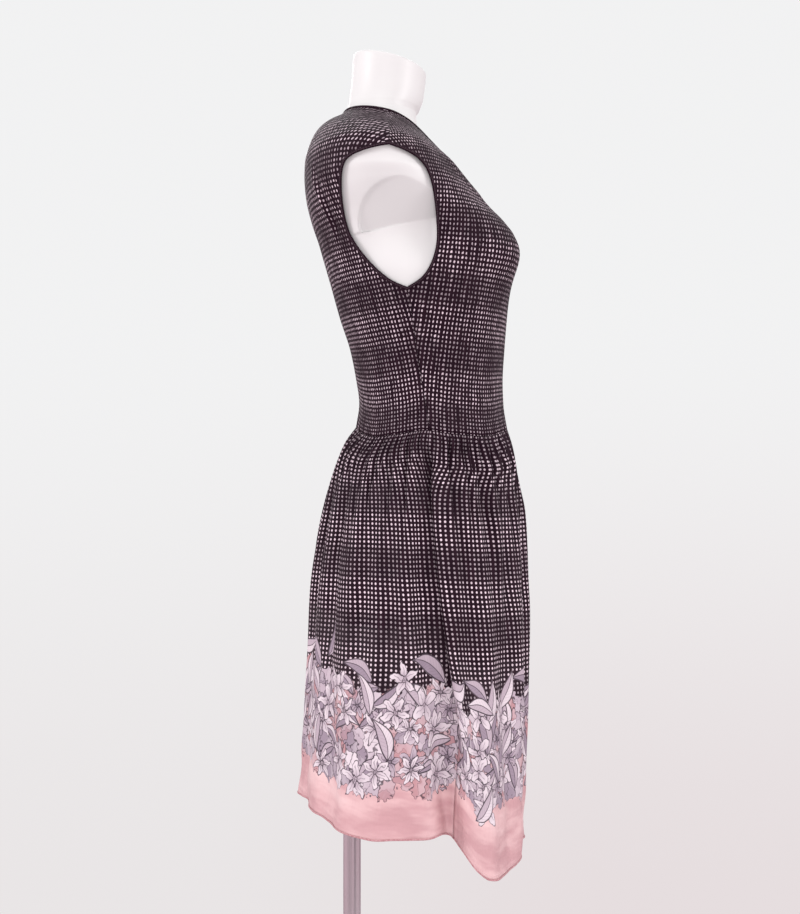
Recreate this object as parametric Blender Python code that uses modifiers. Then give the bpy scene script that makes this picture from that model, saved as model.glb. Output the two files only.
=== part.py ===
"""A sleeveless dress with a gathered skirt, worn on a dress form with a pole stand.

Metres, +Z up. The front faces -Y and the wearer's right side faces -X. The origin is the middle of
the base's underside. Turns are degrees round the body: 0 is the front, 90 the wearer's right side,
180 the back and 270 the left side.
"""
import bisect
import math
from collections import namedtuple

import bmesh
import bpy
from mathutils import Vector
from mathutils.bvhtree import BVHTree

# The cloth and the gaps between pieces
CLOTH = 0.0015
GAP = 0.0003
SEAM_HALF_GAP = GAP / 2
SKIRT_SEAM_HALF_GAP = 0.000225

# Heights
WAIST_Z = 1.050
ARMPIT_Z = 1.205
NECK_V_Z = 1.302
SHOULDER_TIP_Z = 1.352
NECK_POINT_Z = 1.419
NAPE_Z = 1.431

# The side seam leans forward as it goes down, and the shoulder seam lies over the middle of the arm
SIDE_SEAM_WAIST_Y = 0.0052
SKIRT_SEAM_HEM_TURN = 75.0
SKIRT_LEFT_SEAM_HEM_TURN = 283.0
SKIRT_REACH = 0.43
ARMPIT_Y = 0.0305
SHOULDER_TIP_Y = 0.0500
NECK_POINT_X = 0.0672
NECK_V_BOW = 0.85

# The bindings lie on the cloth along the neck and the armholes
BINDING_WIDTH = 0.0055
BINDING_THICK = 0.0010
BINDING_LIFT = 0.0013
ARMHOLE_STEPS = 28
ARMHOLE_MIDDLE_Z = 1.280
NECK_STEPS = 16

# How far the dress form stays inside the cloth
FORM_CLEARANCE = 0.0025

# The stand
BASE_RADIUS = 0.165
BASE_THICK = 0.008
BASE_BEVEL = 0.0025
POLE_RADIUS = 0.0105
POLE_Y = 0.096
COLLAR_WALL = 0.0050
COLLAR_HEIGHT = 0.034
SOCKET_WALL = 0.0045
SOCKET_HEIGHT = 0.030
COLLAR_CHAMFER = 0.0015

# Faces per piece
PANEL_COLUMNS = 13
PANEL_ROWS = 20
PANEL_ROWS_TO_ARMPIT = 6
FRONT_ROWS_TO_NECK = 9
BACK_ROWS_TO_NECK = 14
FORM_COLUMNS = 44
ROWS_NEARER_NECK = 1.4

Section = namedtuple("Section", "z half_width widest front back front_fullness back_fullness")
Place = namedtuple("Place", "y z")
HemPoint = namedtuple("HemPoint", "turn z")
Fold = namedtuple("Fold", "waist_turn hem_turn begins full mid_depth hem_depth mid_width hem_width")

# The outside of the bodice from the waist to the neck: its half width, the y where it is widest,
# the y of its front and back, and how full each half is. Fullness 2 is an ellipse, more is squarer.
BODICE = [
    Section(1.050, 0.1160, 0.001, -0.0900, 0.0915, 2.20, 2.20),
    Section(1.079, 0.1130, 0.001, -0.0855, 0.0876, 2.20, 2.20),
    Section(1.108, 0.1150, 0.003, -0.0845, 0.0912, 2.20, 2.20),
    Section(1.146, 0.1215, 0.006, -0.0865, 0.0984, 2.25, 2.20),
    Section(1.184, 0.1300, 0.011, -0.0893, 0.1104, 2.35, 2.25),
    Section(1.223, 0.1375, 0.014, -0.0925, 0.1212, 2.50, 2.35),
    Section(1.257, 0.1435, 0.018, -0.0945, 0.1310, 2.60, 2.40),
    Section(1.276, 0.1490, 0.022, -0.0925, 0.1365, 2.50, 2.40),
    Section(1.290, 0.1560, 0.026, -0.0860, 0.1415, 2.30, 2.40),
    Section(1.305, 0.1655, 0.033, -0.0720, 0.1460, 2.12, 2.40),
    Section(1.320, 0.1745, 0.042, -0.0595, 0.1495, 2.05, 2.30),
    Section(1.335, 0.1800, 0.050, -0.0465, 0.1515, 2.00, 2.20),
    Section(1.350, 0.1800, 0.057, -0.0345, 0.1524, 2.00, 2.10),
    Section(1.365, 0.1720, 0.063, -0.0220, 0.1520, 2.00, 2.05),
    Section(1.378, 0.1530, 0.068, -0.0105, 0.1495, 2.00, 2.00),
    Section(1.391, 0.1300, 0.072, 0.0010, 0.1455, 2.00, 2.00),
    Section(1.402, 0.1060, 0.074, 0.0085, 0.1405, 2.00, 2.00),
    Section(1.412, 0.0830, 0.073, 0.0130, 0.1325, 2.00, 2.00),
    Section(1.421, 0.0675, 0.068, 0.0145, 0.1165, 2.00, 2.00),
    Section(1.432, 0.0560, 0.061, 0.0150, 0.1035, 2.00, 2.00),
]

# The outer envelope of the skirt, over the crests of its folds
SKIRT = [
    Section(1.050, 0.1160, 0.001, -0.0900, 0.0915, 2.20, 2.20),
    Section(1.031, 0.1270, 0.005, -0.0960, 0.1054, 2.20, 2.20),
    Section(0.992, 0.1450, 0.010, -0.1044, 0.1220, 2.20, 2.15),
    Section(0.954, 0.1580, 0.014, -0.1116, 0.1332, 2.20, 2.10),
    Section(0.916, 0.1690, 0.018, -0.1140, 0.1414, 2.20, 2.05),
    Section(0.877, 0.1780, 0.021, -0.1152, 0.1470, 2.20, 2.05),
    Section(0.839, 0.1860, 0.024, -0.1164, 0.1508, 2.25, 2.00),
    Section(0.791, 0.1950, 0.027, -0.1170, 0.1538, 2.25, 2.00),
    Section(0.733, 0.2050, 0.030, -0.1160, 0.1574, 2.35, 2.00),
    Section(0.676, 0.2140, 0.033, -0.1140, 0.1608, 2.40, 2.00),
    Section(0.620, 0.2215, 0.035, -0.1125, 0.1625, 2.50, 2.00),
    Section(0.570, 0.2250, 0.036, -0.1115, 0.1630, 2.60, 2.00),
]

# The dress form below the waist and up the neck
FORM_HIPS = [
    Section(0.780, 0.1380, 0.020, -0.0760, 0.1150, 2.20, 2.20),
    Section(0.786, 0.1430, 0.019, -0.0810, 0.1195, 2.20, 2.20),
    Section(0.820, 0.1500, 0.018, -0.0870, 0.1235, 2.20, 2.20),
    Section(0.860, 0.1520, 0.016, -0.0910, 0.1225, 2.20, 2.20),
    Section(0.900, 0.1470, 0.012, -0.0920, 0.1160, 2.20, 2.20),
    Section(0.950, 0.1360, 0.007, -0.0910, 0.1050, 2.20, 2.20),
    Section(1.000, 0.1210, 0.003, -0.0880, 0.0940, 2.20, 2.20),
    Section(1.050, 0.1125, 0.001, -0.0865, 0.0880, 2.20, 2.20),
]
FORM_NECK = [
    Section(1.432, 0.0535, 0.060, 0.0170, 0.1025, 2.00, 2.00),
    Section(1.447, 0.0500, 0.055, 0.0110, 0.0995, 2.00, 2.00),
    Section(1.465, 0.0485, 0.053, 0.0085, 0.0970, 2.00, 2.00),
    Section(1.490, 0.0485, 0.051, 0.0060, 0.0950, 2.00, 2.00),
    Section(1.515, 0.0490, 0.049, 0.0040, 0.0940, 2.00, 2.00),
]
FORM_RING_Z = (
    [0.780, 0.786, 0.815, 0.855, 0.90, 0.95, 1.00, 1.05, 1.08, 1.12, 1.16, 1.20, 1.235, 1.262, 1.276]
    + [1.290, 1.305, 1.320, 1.332, 1.344, 1.356, 1.368, 1.380, 1.391, 1.402, 1.412, 1.421, 1.432]
)
NECK_TOP_Z = 1.4915
NECK_TOP_SLOPE = 0.0135
NECK_TOP_ROUNDING = 0.003

# The arm's stump ends in a flat face that looks down and outward, from its inner to its outer edge
ARM_FACE_INNER_X, ARM_FACE_INNER_Z = 0.1350, 1.2760
ARM_FACE_OUTER_X, ARM_FACE_OUTER_Z = 0.1760, 1.3200

# The bust shaping of the front
CUP_TURN = 36.0
CUP_TURN_SPREAD = 22.0
CUP_Z = 1.252
CUP_Z_SPREAD = 0.030
CUP_HEIGHT = 0.0125

# The armhole's edge, seen from the side, from the armpit up the front and over to the shoulder tip
ARMHOLE_FRONT = [
    Place(ARMPIT_Y, ARMPIT_Z),
    Place(0.0120, 1.2180),
    Place(0.0005, 1.2400),
    Place(-0.0025, 1.2680),
    Place(0.0040, 1.3150),
    Place(0.0190, 1.3395),
    Place(SHOULDER_TIP_Y, SHOULDER_TIP_Z),
]
# The same up the back
ARMHOLE_BACK = [
    Place(ARMPIT_Y, ARMPIT_Z),
    Place(0.0520, 1.2155),
    Place(0.0760, 1.2385),
    Place(0.0950, 1.2680),
    Place(0.1022, 1.3000),
    Place(0.1008, 1.3300),
    Place(0.0890, 1.3430),
    Place(SHOULDER_TIP_Y, SHOULDER_TIP_Z),
]

# The hem is lower in front
HEM = [
    HemPoint(0, 0.579),
    HemPoint(34, 0.577),
    HemPoint(44, 0.574),
    HemPoint(54, 0.576),
    HemPoint(63, 0.578),
    HemPoint(68, 0.585),
    HemPoint(73, 0.605),
    HemPoint(78, 0.626),
    HemPoint(98, 0.624),
    HemPoint(112, 0.627),
    HemPoint(126, 0.632),
    HemPoint(180, 0.635),
    HemPoint(234, 0.632),
    HemPoint(260, 0.626),
    HemPoint(279, 0.625),
    HemPoint(285, 0.606),
    HemPoint(291, 0.585),
    HemPoint(300, 0.578),
    HemPoint(325, 0.577),
    HemPoint(360, 0.579),
]

# Long folds of the skirt. A depth is how far the valley sinks under the envelope, and a negative
# one is a crest that stands out of it. Begins and full are shares of the way down.
FOLDS = [
    Fold(8, 12, 0.04, 0.35, 0.010, 0.012, 0.010, 0.024),
    Fold(27, 33, 0.02, 0.30, 0.009, 0.014, 0.009, 0.020),
    Fold(46, 55, 0.06, 0.35, 0.010, 0.014, 0.010, 0.018),
    Fold(65, 48, 0.02, 0.20, 0.010, 0.001, 0.009, 0.016),
    Fold(74, 66, 0.40, 1.00, -0.003, -0.012, 0.022, 0.028),
    Fold(77, 64, 0.02, 0.12, 0.007, 0.000, 0.007, 0.012),
    Fold(85, 66, 0.02, 0.20, 0.009, 0.000, 0.008, 0.012),
    Fold(95.5, 76, 0.01, 0.30, 0.014, 0.025, 0.010, 0.016),
    Fold(104.5, 92, 0.02, 0.28, 0.009, 0.006, 0.009, 0.018),
    Fold(113, 104, 0.02, 0.22, 0.009, 0.003, 0.009, 0.018),
    Fold(138, 116, 0.03, 0.30, 0.013, 0.015, 0.010, 0.020),
    Fold(156, 141, 0.03, 0.35, 0.010, 0.013, 0.010, 0.022),
    Fold(172, 165, 0.03, 0.40, 0.009, 0.011, 0.010, 0.024),
    Fold(189, 189, 0.02, 0.35, 0.010, 0.010, 0.010, 0.024),
    Fold(207, 213, 0.03, 0.40, 0.012, 0.015, 0.010, 0.020),
    Fold(225, 236, 0.04, 0.35, 0.009, 0.010, 0.009, 0.024),
    Fold(243, 258, 0.02, 0.30, 0.011, 0.012, 0.009, 0.022),
    Fold(264, 282, 0.02, 0.35, 0.014, 0.022, 0.009, 0.017),
    Fold(276, 291, 0.03, 0.25, 0.009, 0.002, 0.008, 0.014),
    Fold(285, 295, 0.40, 1.00, -0.003, -0.010, 0.024, 0.030),
    Fold(296, 308, 0.03, 0.30, 0.010, 0.012, 0.009, 0.018),
    Fold(318, 323, 0.02, 0.30, 0.010, 0.014, 0.009, 0.020),
    Fold(340, 343, 0.03, 0.35, 0.009, 0.012, 0.009, 0.022),
]

# Small gathers under the waist seam, on each of the two skirt panels
GATHERS = 18
COLUMNS_PER_GATHER = 4
GATHER_DEPTH = 0.0046
GATHER_PEAK = 0.08
GATHER_REACH = 0.36
SKIRT_DROPS = [0, 0.03, 0.08, 0.15, 0.26, 0.40, 0.56, 0.72, 0.87, 1.0]

COLOURS = {
    "dotted_cloth": (0.035, 0.020, 0.029, 1),
    "binding_cloth": (0.018, 0.012, 0.018, 1),
    "form_white": (0.86, 0.85, 0.85, 1),
    "steel": (0.45, 0.42, 0.44, 1),
}
FINISH = {
    "dotted_cloth": (0.72, 0.0),
    "binding_cloth": (0.75, 0.0),
    "form_white": (0.42, 0.0),
    "steel": (0.30, 0.9),
}


class Curve:
    """A smooth curve through the rows of a table, whose first column is what it is read by."""

    def __init__(self, rows):
        self.rows = sorted(rows)
        self.slopes = [self.slopes_at(n) for n in range(len(rows))]

    def slope_after(self, n):
        one, two = self.rows[n], self.rows[n + 1]
        return [(b - a) / (two[0] - one[0]) for a, b in zip(one, two)]

    def slopes_at(self, n):
        last = len(self.rows) - 1
        if n in (0, last):
            return self.slope_after(min(n, last - 1))
        pairs = zip(self.slope_after(n - 1), self.slope_after(n))
        return [0.0 if a * b <= 0 else 2 * a * b / (a + b) for a, b in pairs]

    def at(self, key):
        rows = self.rows
        key = min(rows[-1][0], max(rows[0][0], key))
        n = bisect.bisect_right([row[0] for row in rows], key, 1, len(rows) - 1) - 1
        span = rows[n + 1][0] - rows[n][0]
        share = (key - rows[n][0]) / span
        square, cube = share**2, share**3
        values = [
            (2 * cube - 3 * square + 1) * a
            + (cube - 2 * square + share) * span * slope_a
            + (3 * square - 2 * cube) * b
            + (cube - square) * span * slope_b
            for a, b, slope_a, slope_b in zip(
                rows[n], rows[n + 1], self.slopes[n], self.slopes[n + 1]
            )
        ]
        return type(rows[n])(*values)


def smoothstep(low, high, value):
    share = min(1.0, max(0.0, (value - low) / (high - low)))
    return share * share * (3 - 2 * share)


def through_places(places, share):
    """A point on a smooth curve through places, at a share of the way along them."""
    steps = [0.0]
    for one, two in zip(places, places[1:]):
        steps.append(steps[-1] + math.hypot(two.y - one.y, two.z - one.z))
    at = share * steps[-1]
    i = max(n for n in range(len(places) - 1) if steps[n] <= at + 1e-12)
    part = (at - steps[i]) / (steps[i + 1] - steps[i])
    four = [places[min(len(places) - 1, max(0, i + n))] for n in (-1, 0, 1, 2)]

    def blend(a, b, c, d):
        return 0.5 * (
            2 * b
            + (c - a) * part
            + (2 * a - 5 * b + 4 * c - d) * part**2
            + (3 * b - a - 3 * c + d) * part**3
        )

    return Place(blend(*(p.y for p in four)), blend(*(p.z for p in four)))


def section_radius(section, turn):
    """The distance to the section's outline from the middle of its widest line."""
    angle = math.radians(turn)
    if math.cos(angle) > 0:
        depth, fullness = section.widest - section.front, section.front_fullness
    else:
        depth, fullness = section.back - section.widest, section.back_fullness
    across = abs(math.sin(angle) / section.half_width) ** fullness
    along = abs(math.cos(angle) / depth) ** fullness
    return (across + along) ** (-1 / fullness)


def place_on(section, turn, radius):
    angle = math.radians(turn)
    return Vector((-radius * math.sin(angle), section.widest - radius * math.cos(angle), section.z))


def cup(turn, z):
    """How far the bust of the front stands out."""
    from_front = abs((turn + 180) % 360 - 180)
    spread = ((from_front - CUP_TURN) / CUP_TURN_SPREAD) ** 2 + ((z - CUP_Z) / CUP_Z_SPREAD) ** 2
    return CUP_HEIGHT * math.exp(-spread)


def bodice_point(turn, z):
    section = BODICE_CURVE.at(z)
    return place_on(section, turn, section_radius(section, turn) + cup(turn, z))


def outward(point_at, turn, height, upward=0.0004):
    """The unit normal of a surface that point_at(turn, height) gives.

    upward is a small step of height, and is negative where height grows downward.
    """
    turn_step = 0.05
    across = point_at(turn + turn_step, height) - point_at(turn - turn_step, height)
    rise = point_at(turn, height + upward) - point_at(turn, height - upward)
    return rise.cross(across).normalized()


def level(normal):
    return Vector((normal.x, normal.y, 0)).normalized()


def turn_where(test, low, high):
    """The turn between low and high at which test changes from true to false."""
    for _ in range(30):
        middle = (low + high) / 2
        low, high = (middle, high) if test(middle) else (low, middle)
    return (low + high) / 2


def turn_at_y(y, z):
    """The turn on the wearer's right at which the bodice reaches back to y."""
    return turn_where(lambda turn: bodice_point(turn, z).y < y, 0.0, 180.0)


def side_seam(share):
    z = WAIST_Z + (ARMPIT_Z - WAIST_Z) * share
    y = SIDE_SEAM_WAIST_Y + (ARMPIT_Y - SIDE_SEAM_WAIST_Y) * share
    return turn_at_y(y, z), z


def armhole(places, share):
    place = through_places(places, share)
    return turn_at_y(place.y, place.z), place.z


def front_neck(share):
    """The edge of the V neck, from its lowest point to the top of the shoulder seam."""
    z = NECK_V_Z + (NECK_POINT_Z - NECK_V_Z) * share
    x = NECK_POINT_X * share**NECK_V_BOW
    return turn_where(lambda turn: -bodice_point(turn, z).x < x, 0.0, 90.0), z


def back_neck(share):
    """The back neckline, from the nape to the top of the shoulder seam."""
    shoulder_turn = front_neck(1.0)[0]
    return 180 + (shoulder_turn - 180) * share, NAPE_Z + (NECK_POINT_Z - NAPE_Z) * share**2


def front_middle(share):
    return 0.0, NECK_V_Z + (WAIST_Z - NECK_V_Z) * (1 - share) ** ROWS_NEARER_NECK


def back_middle(share):
    return 180.0, NAPE_Z + (WAIST_Z - NAPE_Z) * (1 - share) ** ROWS_NEARER_NECK


def panel_row(middle_line, neck_line, places, rows_to_neck, row):
    """Where one row of half a bodice panel begins, at the middle or the neck, and where it ends."""
    if row <= rows_to_neck:
        inner = middle_line(row / rows_to_neck)
    else:
        inner = neck_line((row - rows_to_neck) / (PANEL_ROWS - rows_to_neck))
    if row <= PANEL_ROWS_TO_ARMPIT:
        return inner, side_seam(row / PANEL_ROWS_TO_ARMPIT)
    over = (row - PANEL_ROWS_TO_ARMPIT) / (PANEL_ROWS - PANEL_ROWS_TO_ARMPIT)
    return inner, armhole(places, over)


def panel_grid(middle_line, neck_line, places, rows_to_neck, side):
    """Rows of (point, normal) over half a bodice panel, from the middle to the side seam.

    side is -1 on the front and 1 on the back, which keeps the panels apart at their seams.
    """
    grid = []
    for row in range(PANEL_ROWS + 1):
        inner, outer = panel_row(middle_line, neck_line, places, rows_to_neck, row)
        points = []
        for column in range(PANEL_COLUMNS + 1):
            share = column / PANEL_COLUMNS
            turn = inner[0] + (outer[0] - inner[0]) * share
            z = inner[1] + (outer[1] - inner[1]) * share
            point, normal = bodice_point(turn, z), outward(bodice_point, turn, z)
            on_side_seam = column == PANEL_COLUMNS and row <= PANEL_ROWS_TO_ARMPIT
            if on_side_seam or row == PANEL_ROWS:
                point.y += side * SEAM_HALF_GAP
            if row == 0:
                point.z += SEAM_HALF_GAP
                normal = level(normal)
            if column == 0 and row <= rows_to_neck:
                point.x, normal.x = 0.0, 0.0
                normal.normalize()
            points.append((point, normal))
        grid.append(points)
    return grid


def skirt_point(turn, drop):
    """The outside of the skirt without its gathers: drop 0 is the waist seam and 1 the hem."""
    hem_z = HEM_CURVE.at(turn % 360).z
    section = SKIRT_CURVE.at(WAIST_Z + (hem_z - WAIST_Z) * drop)
    radius = section_radius(section, turn)
    sink = 0.0
    for fold in FOLDS:
        at = fold.waist_turn + (fold.hem_turn - fold.waist_turn) * drop
        apart = (turn - at + 180) % 360 - 180
        depth = fold.mid_depth + (fold.hem_depth - fold.mid_depth) * drop
        width = fold.mid_width + (fold.hem_width - fold.mid_width) * drop
        spread = (math.radians(apart) * radius / width) ** 2
        sink += smoothstep(fold.begins, fold.full, drop) * depth * math.exp(-spread)
    return place_on(section, turn, radius - sink)


def gather_sink(share, drop):
    """How far a gather sinks at a share of the way across its panel."""
    grown = smoothstep(-0.03, GATHER_PEAK, drop) * (1 - smoothstep(GATHER_PEAK, GATHER_REACH, drop))
    uneven = 0.75 + 0.25 * math.sin(11 * share + 1.0)
    wave = 0.5 - 0.5 * math.cos(2 * math.pi * GATHERS * share)
    return GATHER_DEPTH * grown * uneven * wave


def skirt_grid(first_turn, last_turn):
    """Rows of (point, normal) over a skirt panel from one side seam to the other."""
    columns = GATHERS * COLUMNS_PER_GATHER
    grid = []
    for drop in SKIRT_DROPS:
        half_width = SKIRT_CURVE.at(WAIST_Z - drop * SKIRT_REACH).half_width
        seam_gap = math.degrees(SKIRT_SEAM_HALF_GAP / half_width)
        first, last = first_turn(drop) + seam_gap, last_turn(drop) - seam_gap
        row = []
        for column in range(columns + 1):
            share = column / columns
            turn = first + (last - first) * share
            normal = outward(skirt_point, turn, drop, upward=-0.0004)
            point = skirt_point(turn, drop) - level(normal) * gather_sink(share, drop)
            if drop == 0:
                point.z -= SEAM_HALF_GAP
                normal = level(normal)
            row.append((point, normal))
        grid.append(row)
    return grid


def right_seam_turn(drop):
    """The skirt's right side seam runs down the deep fold beside it."""
    start = side_seam(0)[0]
    return start + (SKIRT_SEAM_HEM_TURN - start) * drop


def left_seam_turn(drop):
    start = 360 - side_seam(0)[0]
    return start + (SKIRT_LEFT_SEAM_HEM_TURN - start) * drop


def material(slot):
    made = bpy.data.materials.new(slot)
    made.use_nodes = True
    shader = made.node_tree.nodes["Principled BSDF"]
    shader.inputs["Base Color"].default_value = COLOURS[slot]
    shader.inputs["Roughness"].default_value = FINISH[slot][0]
    shader.inputs["Metallic"].default_value = FINISH[slot][1]
    made.diffuse_color = COLOURS[slot]
    return made


def new_object(name, mesh, slot):
    made = bpy.data.objects.new(name, mesh)
    parts.objects.link(made)
    mesh.materials.append(materials[slot])
    mesh.shade_smooth()
    mesh.set_sharp_from_angle(angle=math.radians(40))
    return made


def mesh_from(name, points, faces):
    mesh = bpy.data.meshes.new(name)
    shape = bmesh.new()
    verts = [shape.verts.new(point) for point in points]
    for face in faces:
        shape.faces.new([verts[n] for n in face])
    bmesh.ops.recalc_face_normals(shape, faces=shape.faces)
    if shape.calc_volume(signed=True) < 0:
        bmesh.ops.reverse_faces(shape, faces=shape.faces)
    shape.to_mesh(mesh)
    shape.free()
    return mesh


def cloth_wall(name, grid, rows_open_at_middle=0):
    """A cloth wall inward from a grid of (point, normal), with a rim round its edges.

    The first rows of a mirrored piece are open at the middle, where its other half joins.
    """
    rows, columns = len(grid), len(grid[0])
    points = [point - normal * lift for lift in (0, CLOTH) for line in grid for point, normal in line]

    def at(layer, row, column):
        return (layer * rows + row) * columns + column

    def rim(one, two):
        faces.append([at(0, *one), at(0, *two), at(1, *two), at(1, *one)])

    faces = []
    for row in range(rows - 1):
        for column in range(columns - 1):
            corners = [(row, column), (row, column + 1), (row + 1, column + 1), (row + 1, column)]
            faces.append([at(0, *corner) for corner in corners])
            faces.append([at(1, *corner) for corner in reversed(corners)])
        rim((row, columns - 1), (row + 1, columns - 1))
        if row >= rows_open_at_middle:
            rim((row, 0), (row + 1, 0))
    for column in range(columns - 1):
        rim((0, column), (0, column + 1))
        rim((rows - 1, column), (rows - 1, column + 1))
    return new_object(name, mesh_from(name, points, faces), "dotted_cloth")


def mirrored(piece):
    """Adds the other half of a piece whose first half is open at the middle plane."""
    mirror = piece.modifiers.new("other half", "MIRROR")
    mirror.use_axis = (True, False, False)
    mirror.use_clip = True
    mirror.merge_threshold = 0.00001
    return piece


def on_either_half(cloth, point):
    """The nearest place on the cloth, which is known for the wearer's right half only."""
    side = -1 if point.x > 0 else 1
    near = cloth.find_nearest(Vector((side * point.x, point.y, point.z)))[0]
    return Vector((side * near.x, near.y, near.z))


def surface_of(grids):
    """The outer faces of the bodice's panels, for finding the nearest place on them."""
    points, faces = [], []
    for grid in grids:
        columns, first = len(grid[0]), len(points)
        points += [point for line in grid for point, _ in line]
        for row in range(len(grid) - 1):
            for column in range(columns - 1):
                corner = first + row * columns + column
                faces.append([corner, corner + 1, corner + columns + 1, corner + columns])
    return BVHTree.FromPolygons(points, faces)


def binding(name, cloth, edge, away_turn, away_z, flip=1):
    """A narrow band on the cloth along a closed edge of (turn, z) places.

    It lies on the side of the edge that faces away from the place that away_turn and away_z give.
    """
    points, count = [], len(edge)
    for step, (turn, z) in enumerate(edge):
        before, after = edge[step - 1], edge[(step + 1) % count]
        per_turn = (bodice_point(turn + 0.1, z) - bodice_point(turn - 0.1, z)).length / 0.2
        tangent = Vector(((after[0] - before[0]) * per_turn, after[1] - before[1])).normalized()
        square = Vector((-tangent.y, tangent.x)) * BINDING_WIDTH
        if square.dot(Vector(((turn - away_turn) * per_turn, z - away_z))) < 0:
            square.negate()
        far = (turn + square.x / per_turn, z + square.y)
        for place in ((turn, z), far):
            normal = outward(bodice_point, *place)
            point = on_either_half(cloth, bodice_point(*place))
            for lift in (BINDING_LIFT, BINDING_LIFT + BINDING_THICK):
                raised = point + normal * lift
                points.append(Vector((flip * raised.x, raised.y, raised.z)))
    faces = []
    for step in range(count):
        here, there = 4 * step, 4 * ((step + 1) % count)
        for one, two in ((0, 1), (1, 3), (3, 2), (2, 0)):
            faces.append([here + one, here + two, there + two, there + one])
    return new_object(name, mesh_from(name, points, faces), "binding_cloth")


def armhole_edge():
    up = [armhole(ARMHOLE_FRONT, n / ARMHOLE_STEPS) for n in range(ARMHOLE_STEPS)]
    down = [armhole(ARMHOLE_BACK, 1 - n / ARMHOLE_STEPS) for n in range(ARMHOLE_STEPS)]
    return up + down


def neck_edge():
    up = [front_neck(n / NECK_STEPS) for n in range(NECK_STEPS)]
    over = [back_neck(1 - n / NECK_STEPS) for n in range(NECK_STEPS + 1)]
    right = up + over
    return right + [(360 - turn, z) for turn, z in right[-2:0:-1]]


def dress():
    front = panel_grid(front_middle, front_neck, ARMHOLE_FRONT, FRONT_ROWS_TO_NECK, -1)
    back = panel_grid(back_middle, back_neck, ARMHOLE_BACK, BACK_ROWS_TO_NECK, 1)
    mirrored(cloth_wall("bodice_front", front, FRONT_ROWS_TO_NECK))
    mirrored(cloth_wall("bodice_back", back, BACK_ROWS_TO_NECK))
    cloth_wall("skirt_front", skirt_grid(lambda drop: left_seam_turn(drop) - 360, right_seam_turn))
    cloth_wall("skirt_back", skirt_grid(right_seam_turn, left_seam_turn))
    cloth = surface_of([front, back])
    binding("neck_binding", cloth, neck_edge(), 180.0, NECK_TOP_Z)
    for side, flip in (("right", 1), ("left", -1)):
        binding("armhole_binding_" + side, cloth, armhole_edge(), 90.0, ARMHOLE_MIDDLE_Z, flip)


def form_point(turn, z):
    """The dress form: its hips, then inside of the bodice, then its neck."""
    if z < WAIST_Z:
        section = FORM_HIPS_CURVE.at(z)
        return place_on(section, turn, section_radius(section, turn))
    if z > BODICE[-1].z:
        section = FORM_NECK_CURVE.at(z)
        return place_on(section, turn, section_radius(section, turn))
    inset = outward(bodice_point, turn, z) * (CLOTH + FORM_CLEARANCE)
    point = bodice_point(turn, z) - inset
    rise = (point.z - ARM_FACE_INNER_Z) / (ARM_FACE_OUTER_Z - ARM_FACE_INNER_Z)
    if 0 <= rise <= 1:
        reach = ARM_FACE_INNER_X + (ARM_FACE_OUTER_X - ARM_FACE_INNER_X) * rise
        point.x = min(reach, max(-reach, point.x))
    return point


def dress_form():
    """The limbless form: rings from the flat underside to the sloping top of the neck."""
    turns = [360 * n / FORM_COLUMNS for n in range(FORM_COLUMNS)]
    rings = [[form_point(turn, z) for turn in turns] for z in FORM_RING_Z]
    for share in (0.25, 0.6, 1.0):
        ring = []
        for turn in turns:
            top = NECK_TOP_Z - NECK_TOP_SLOPE * math.cos(math.radians(turn))
            ring.append(form_point(turn, FORM_RING_Z[-1] + (top - FORM_RING_Z[-1]) * share))
        rings.append(ring)
    middle = sum(rings[-1], Vector()) / FORM_COLUMNS
    rings.append([p.lerp(middle, 0.12) + Vector((0, 0, NECK_TOP_ROUNDING)) for p in rings[-1]])
    points = [point for ring in rings for point in ring]
    faces = []
    for row in range(len(rings) - 1):
        for n in range(FORM_COLUMNS):
            here, there = row * FORM_COLUMNS, (row + 1) * FORM_COLUMNS
            after = (n + 1) % FORM_COLUMNS
            faces.append([here + n, here + after, there + after, there + n])
    faces.append(list(range(FORM_COLUMNS))[::-1])
    faces.append([(len(rings) - 1) * FORM_COLUMNS + n for n in range(FORM_COLUMNS)])
    return new_object("dress_form", mesh_from("dress_form", points, faces), "form_white")


def upright_disc(name, radius, low_z, high_z, y, bevel=0.0, segments=48):
    """A round plate or rod that stands at y."""
    mesh = bpy.data.meshes.new(name)
    shape = bmesh.new()
    bmesh.ops.create_cone(
        shape,
        cap_ends=True,
        segments=segments,
        radius1=radius,
        radius2=radius,
        depth=high_z - low_z,
    )
    shape.to_mesh(mesh)
    shape.free()
    made = new_object(name, mesh, "steel")
    made.location = (0, y, (low_z + high_z) / 2)
    if bevel:
        edge = made.modifiers.new("rounded edge", "BEVEL")
        edge.width = bevel
        edge.segments = 2
        edge.limit_method = "ANGLE"
    return made


def collar(name, wall, low_z, high_z):
    """A turned ring round the pole, its profile run round by a Screw modifier."""
    inner = POLE_RADIUS + GAP
    outer = inner + wall
    profile = [
        (inner, high_z),
        (outer - COLLAR_CHAMFER, high_z),
        (outer, high_z - COLLAR_CHAMFER),
        (outer, low_z),
        (inner, low_z),
    ]
    mesh = bpy.data.meshes.new(name)
    count = len(profile)
    mesh.from_pydata(
        [(radius, 0, z) for radius, z in profile], [(n, (n + 1) % count) for n in range(count)], []
    )
    made = new_object(name, mesh, "steel")
    made.location = (0, POLE_Y, 0)
    turned = made.modifiers.new("turned", "SCREW")
    turned.steps = turned.render_steps = 28
    turned.use_merge_vertices = True
    turned.merge_threshold = 0.00001
    return made


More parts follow.
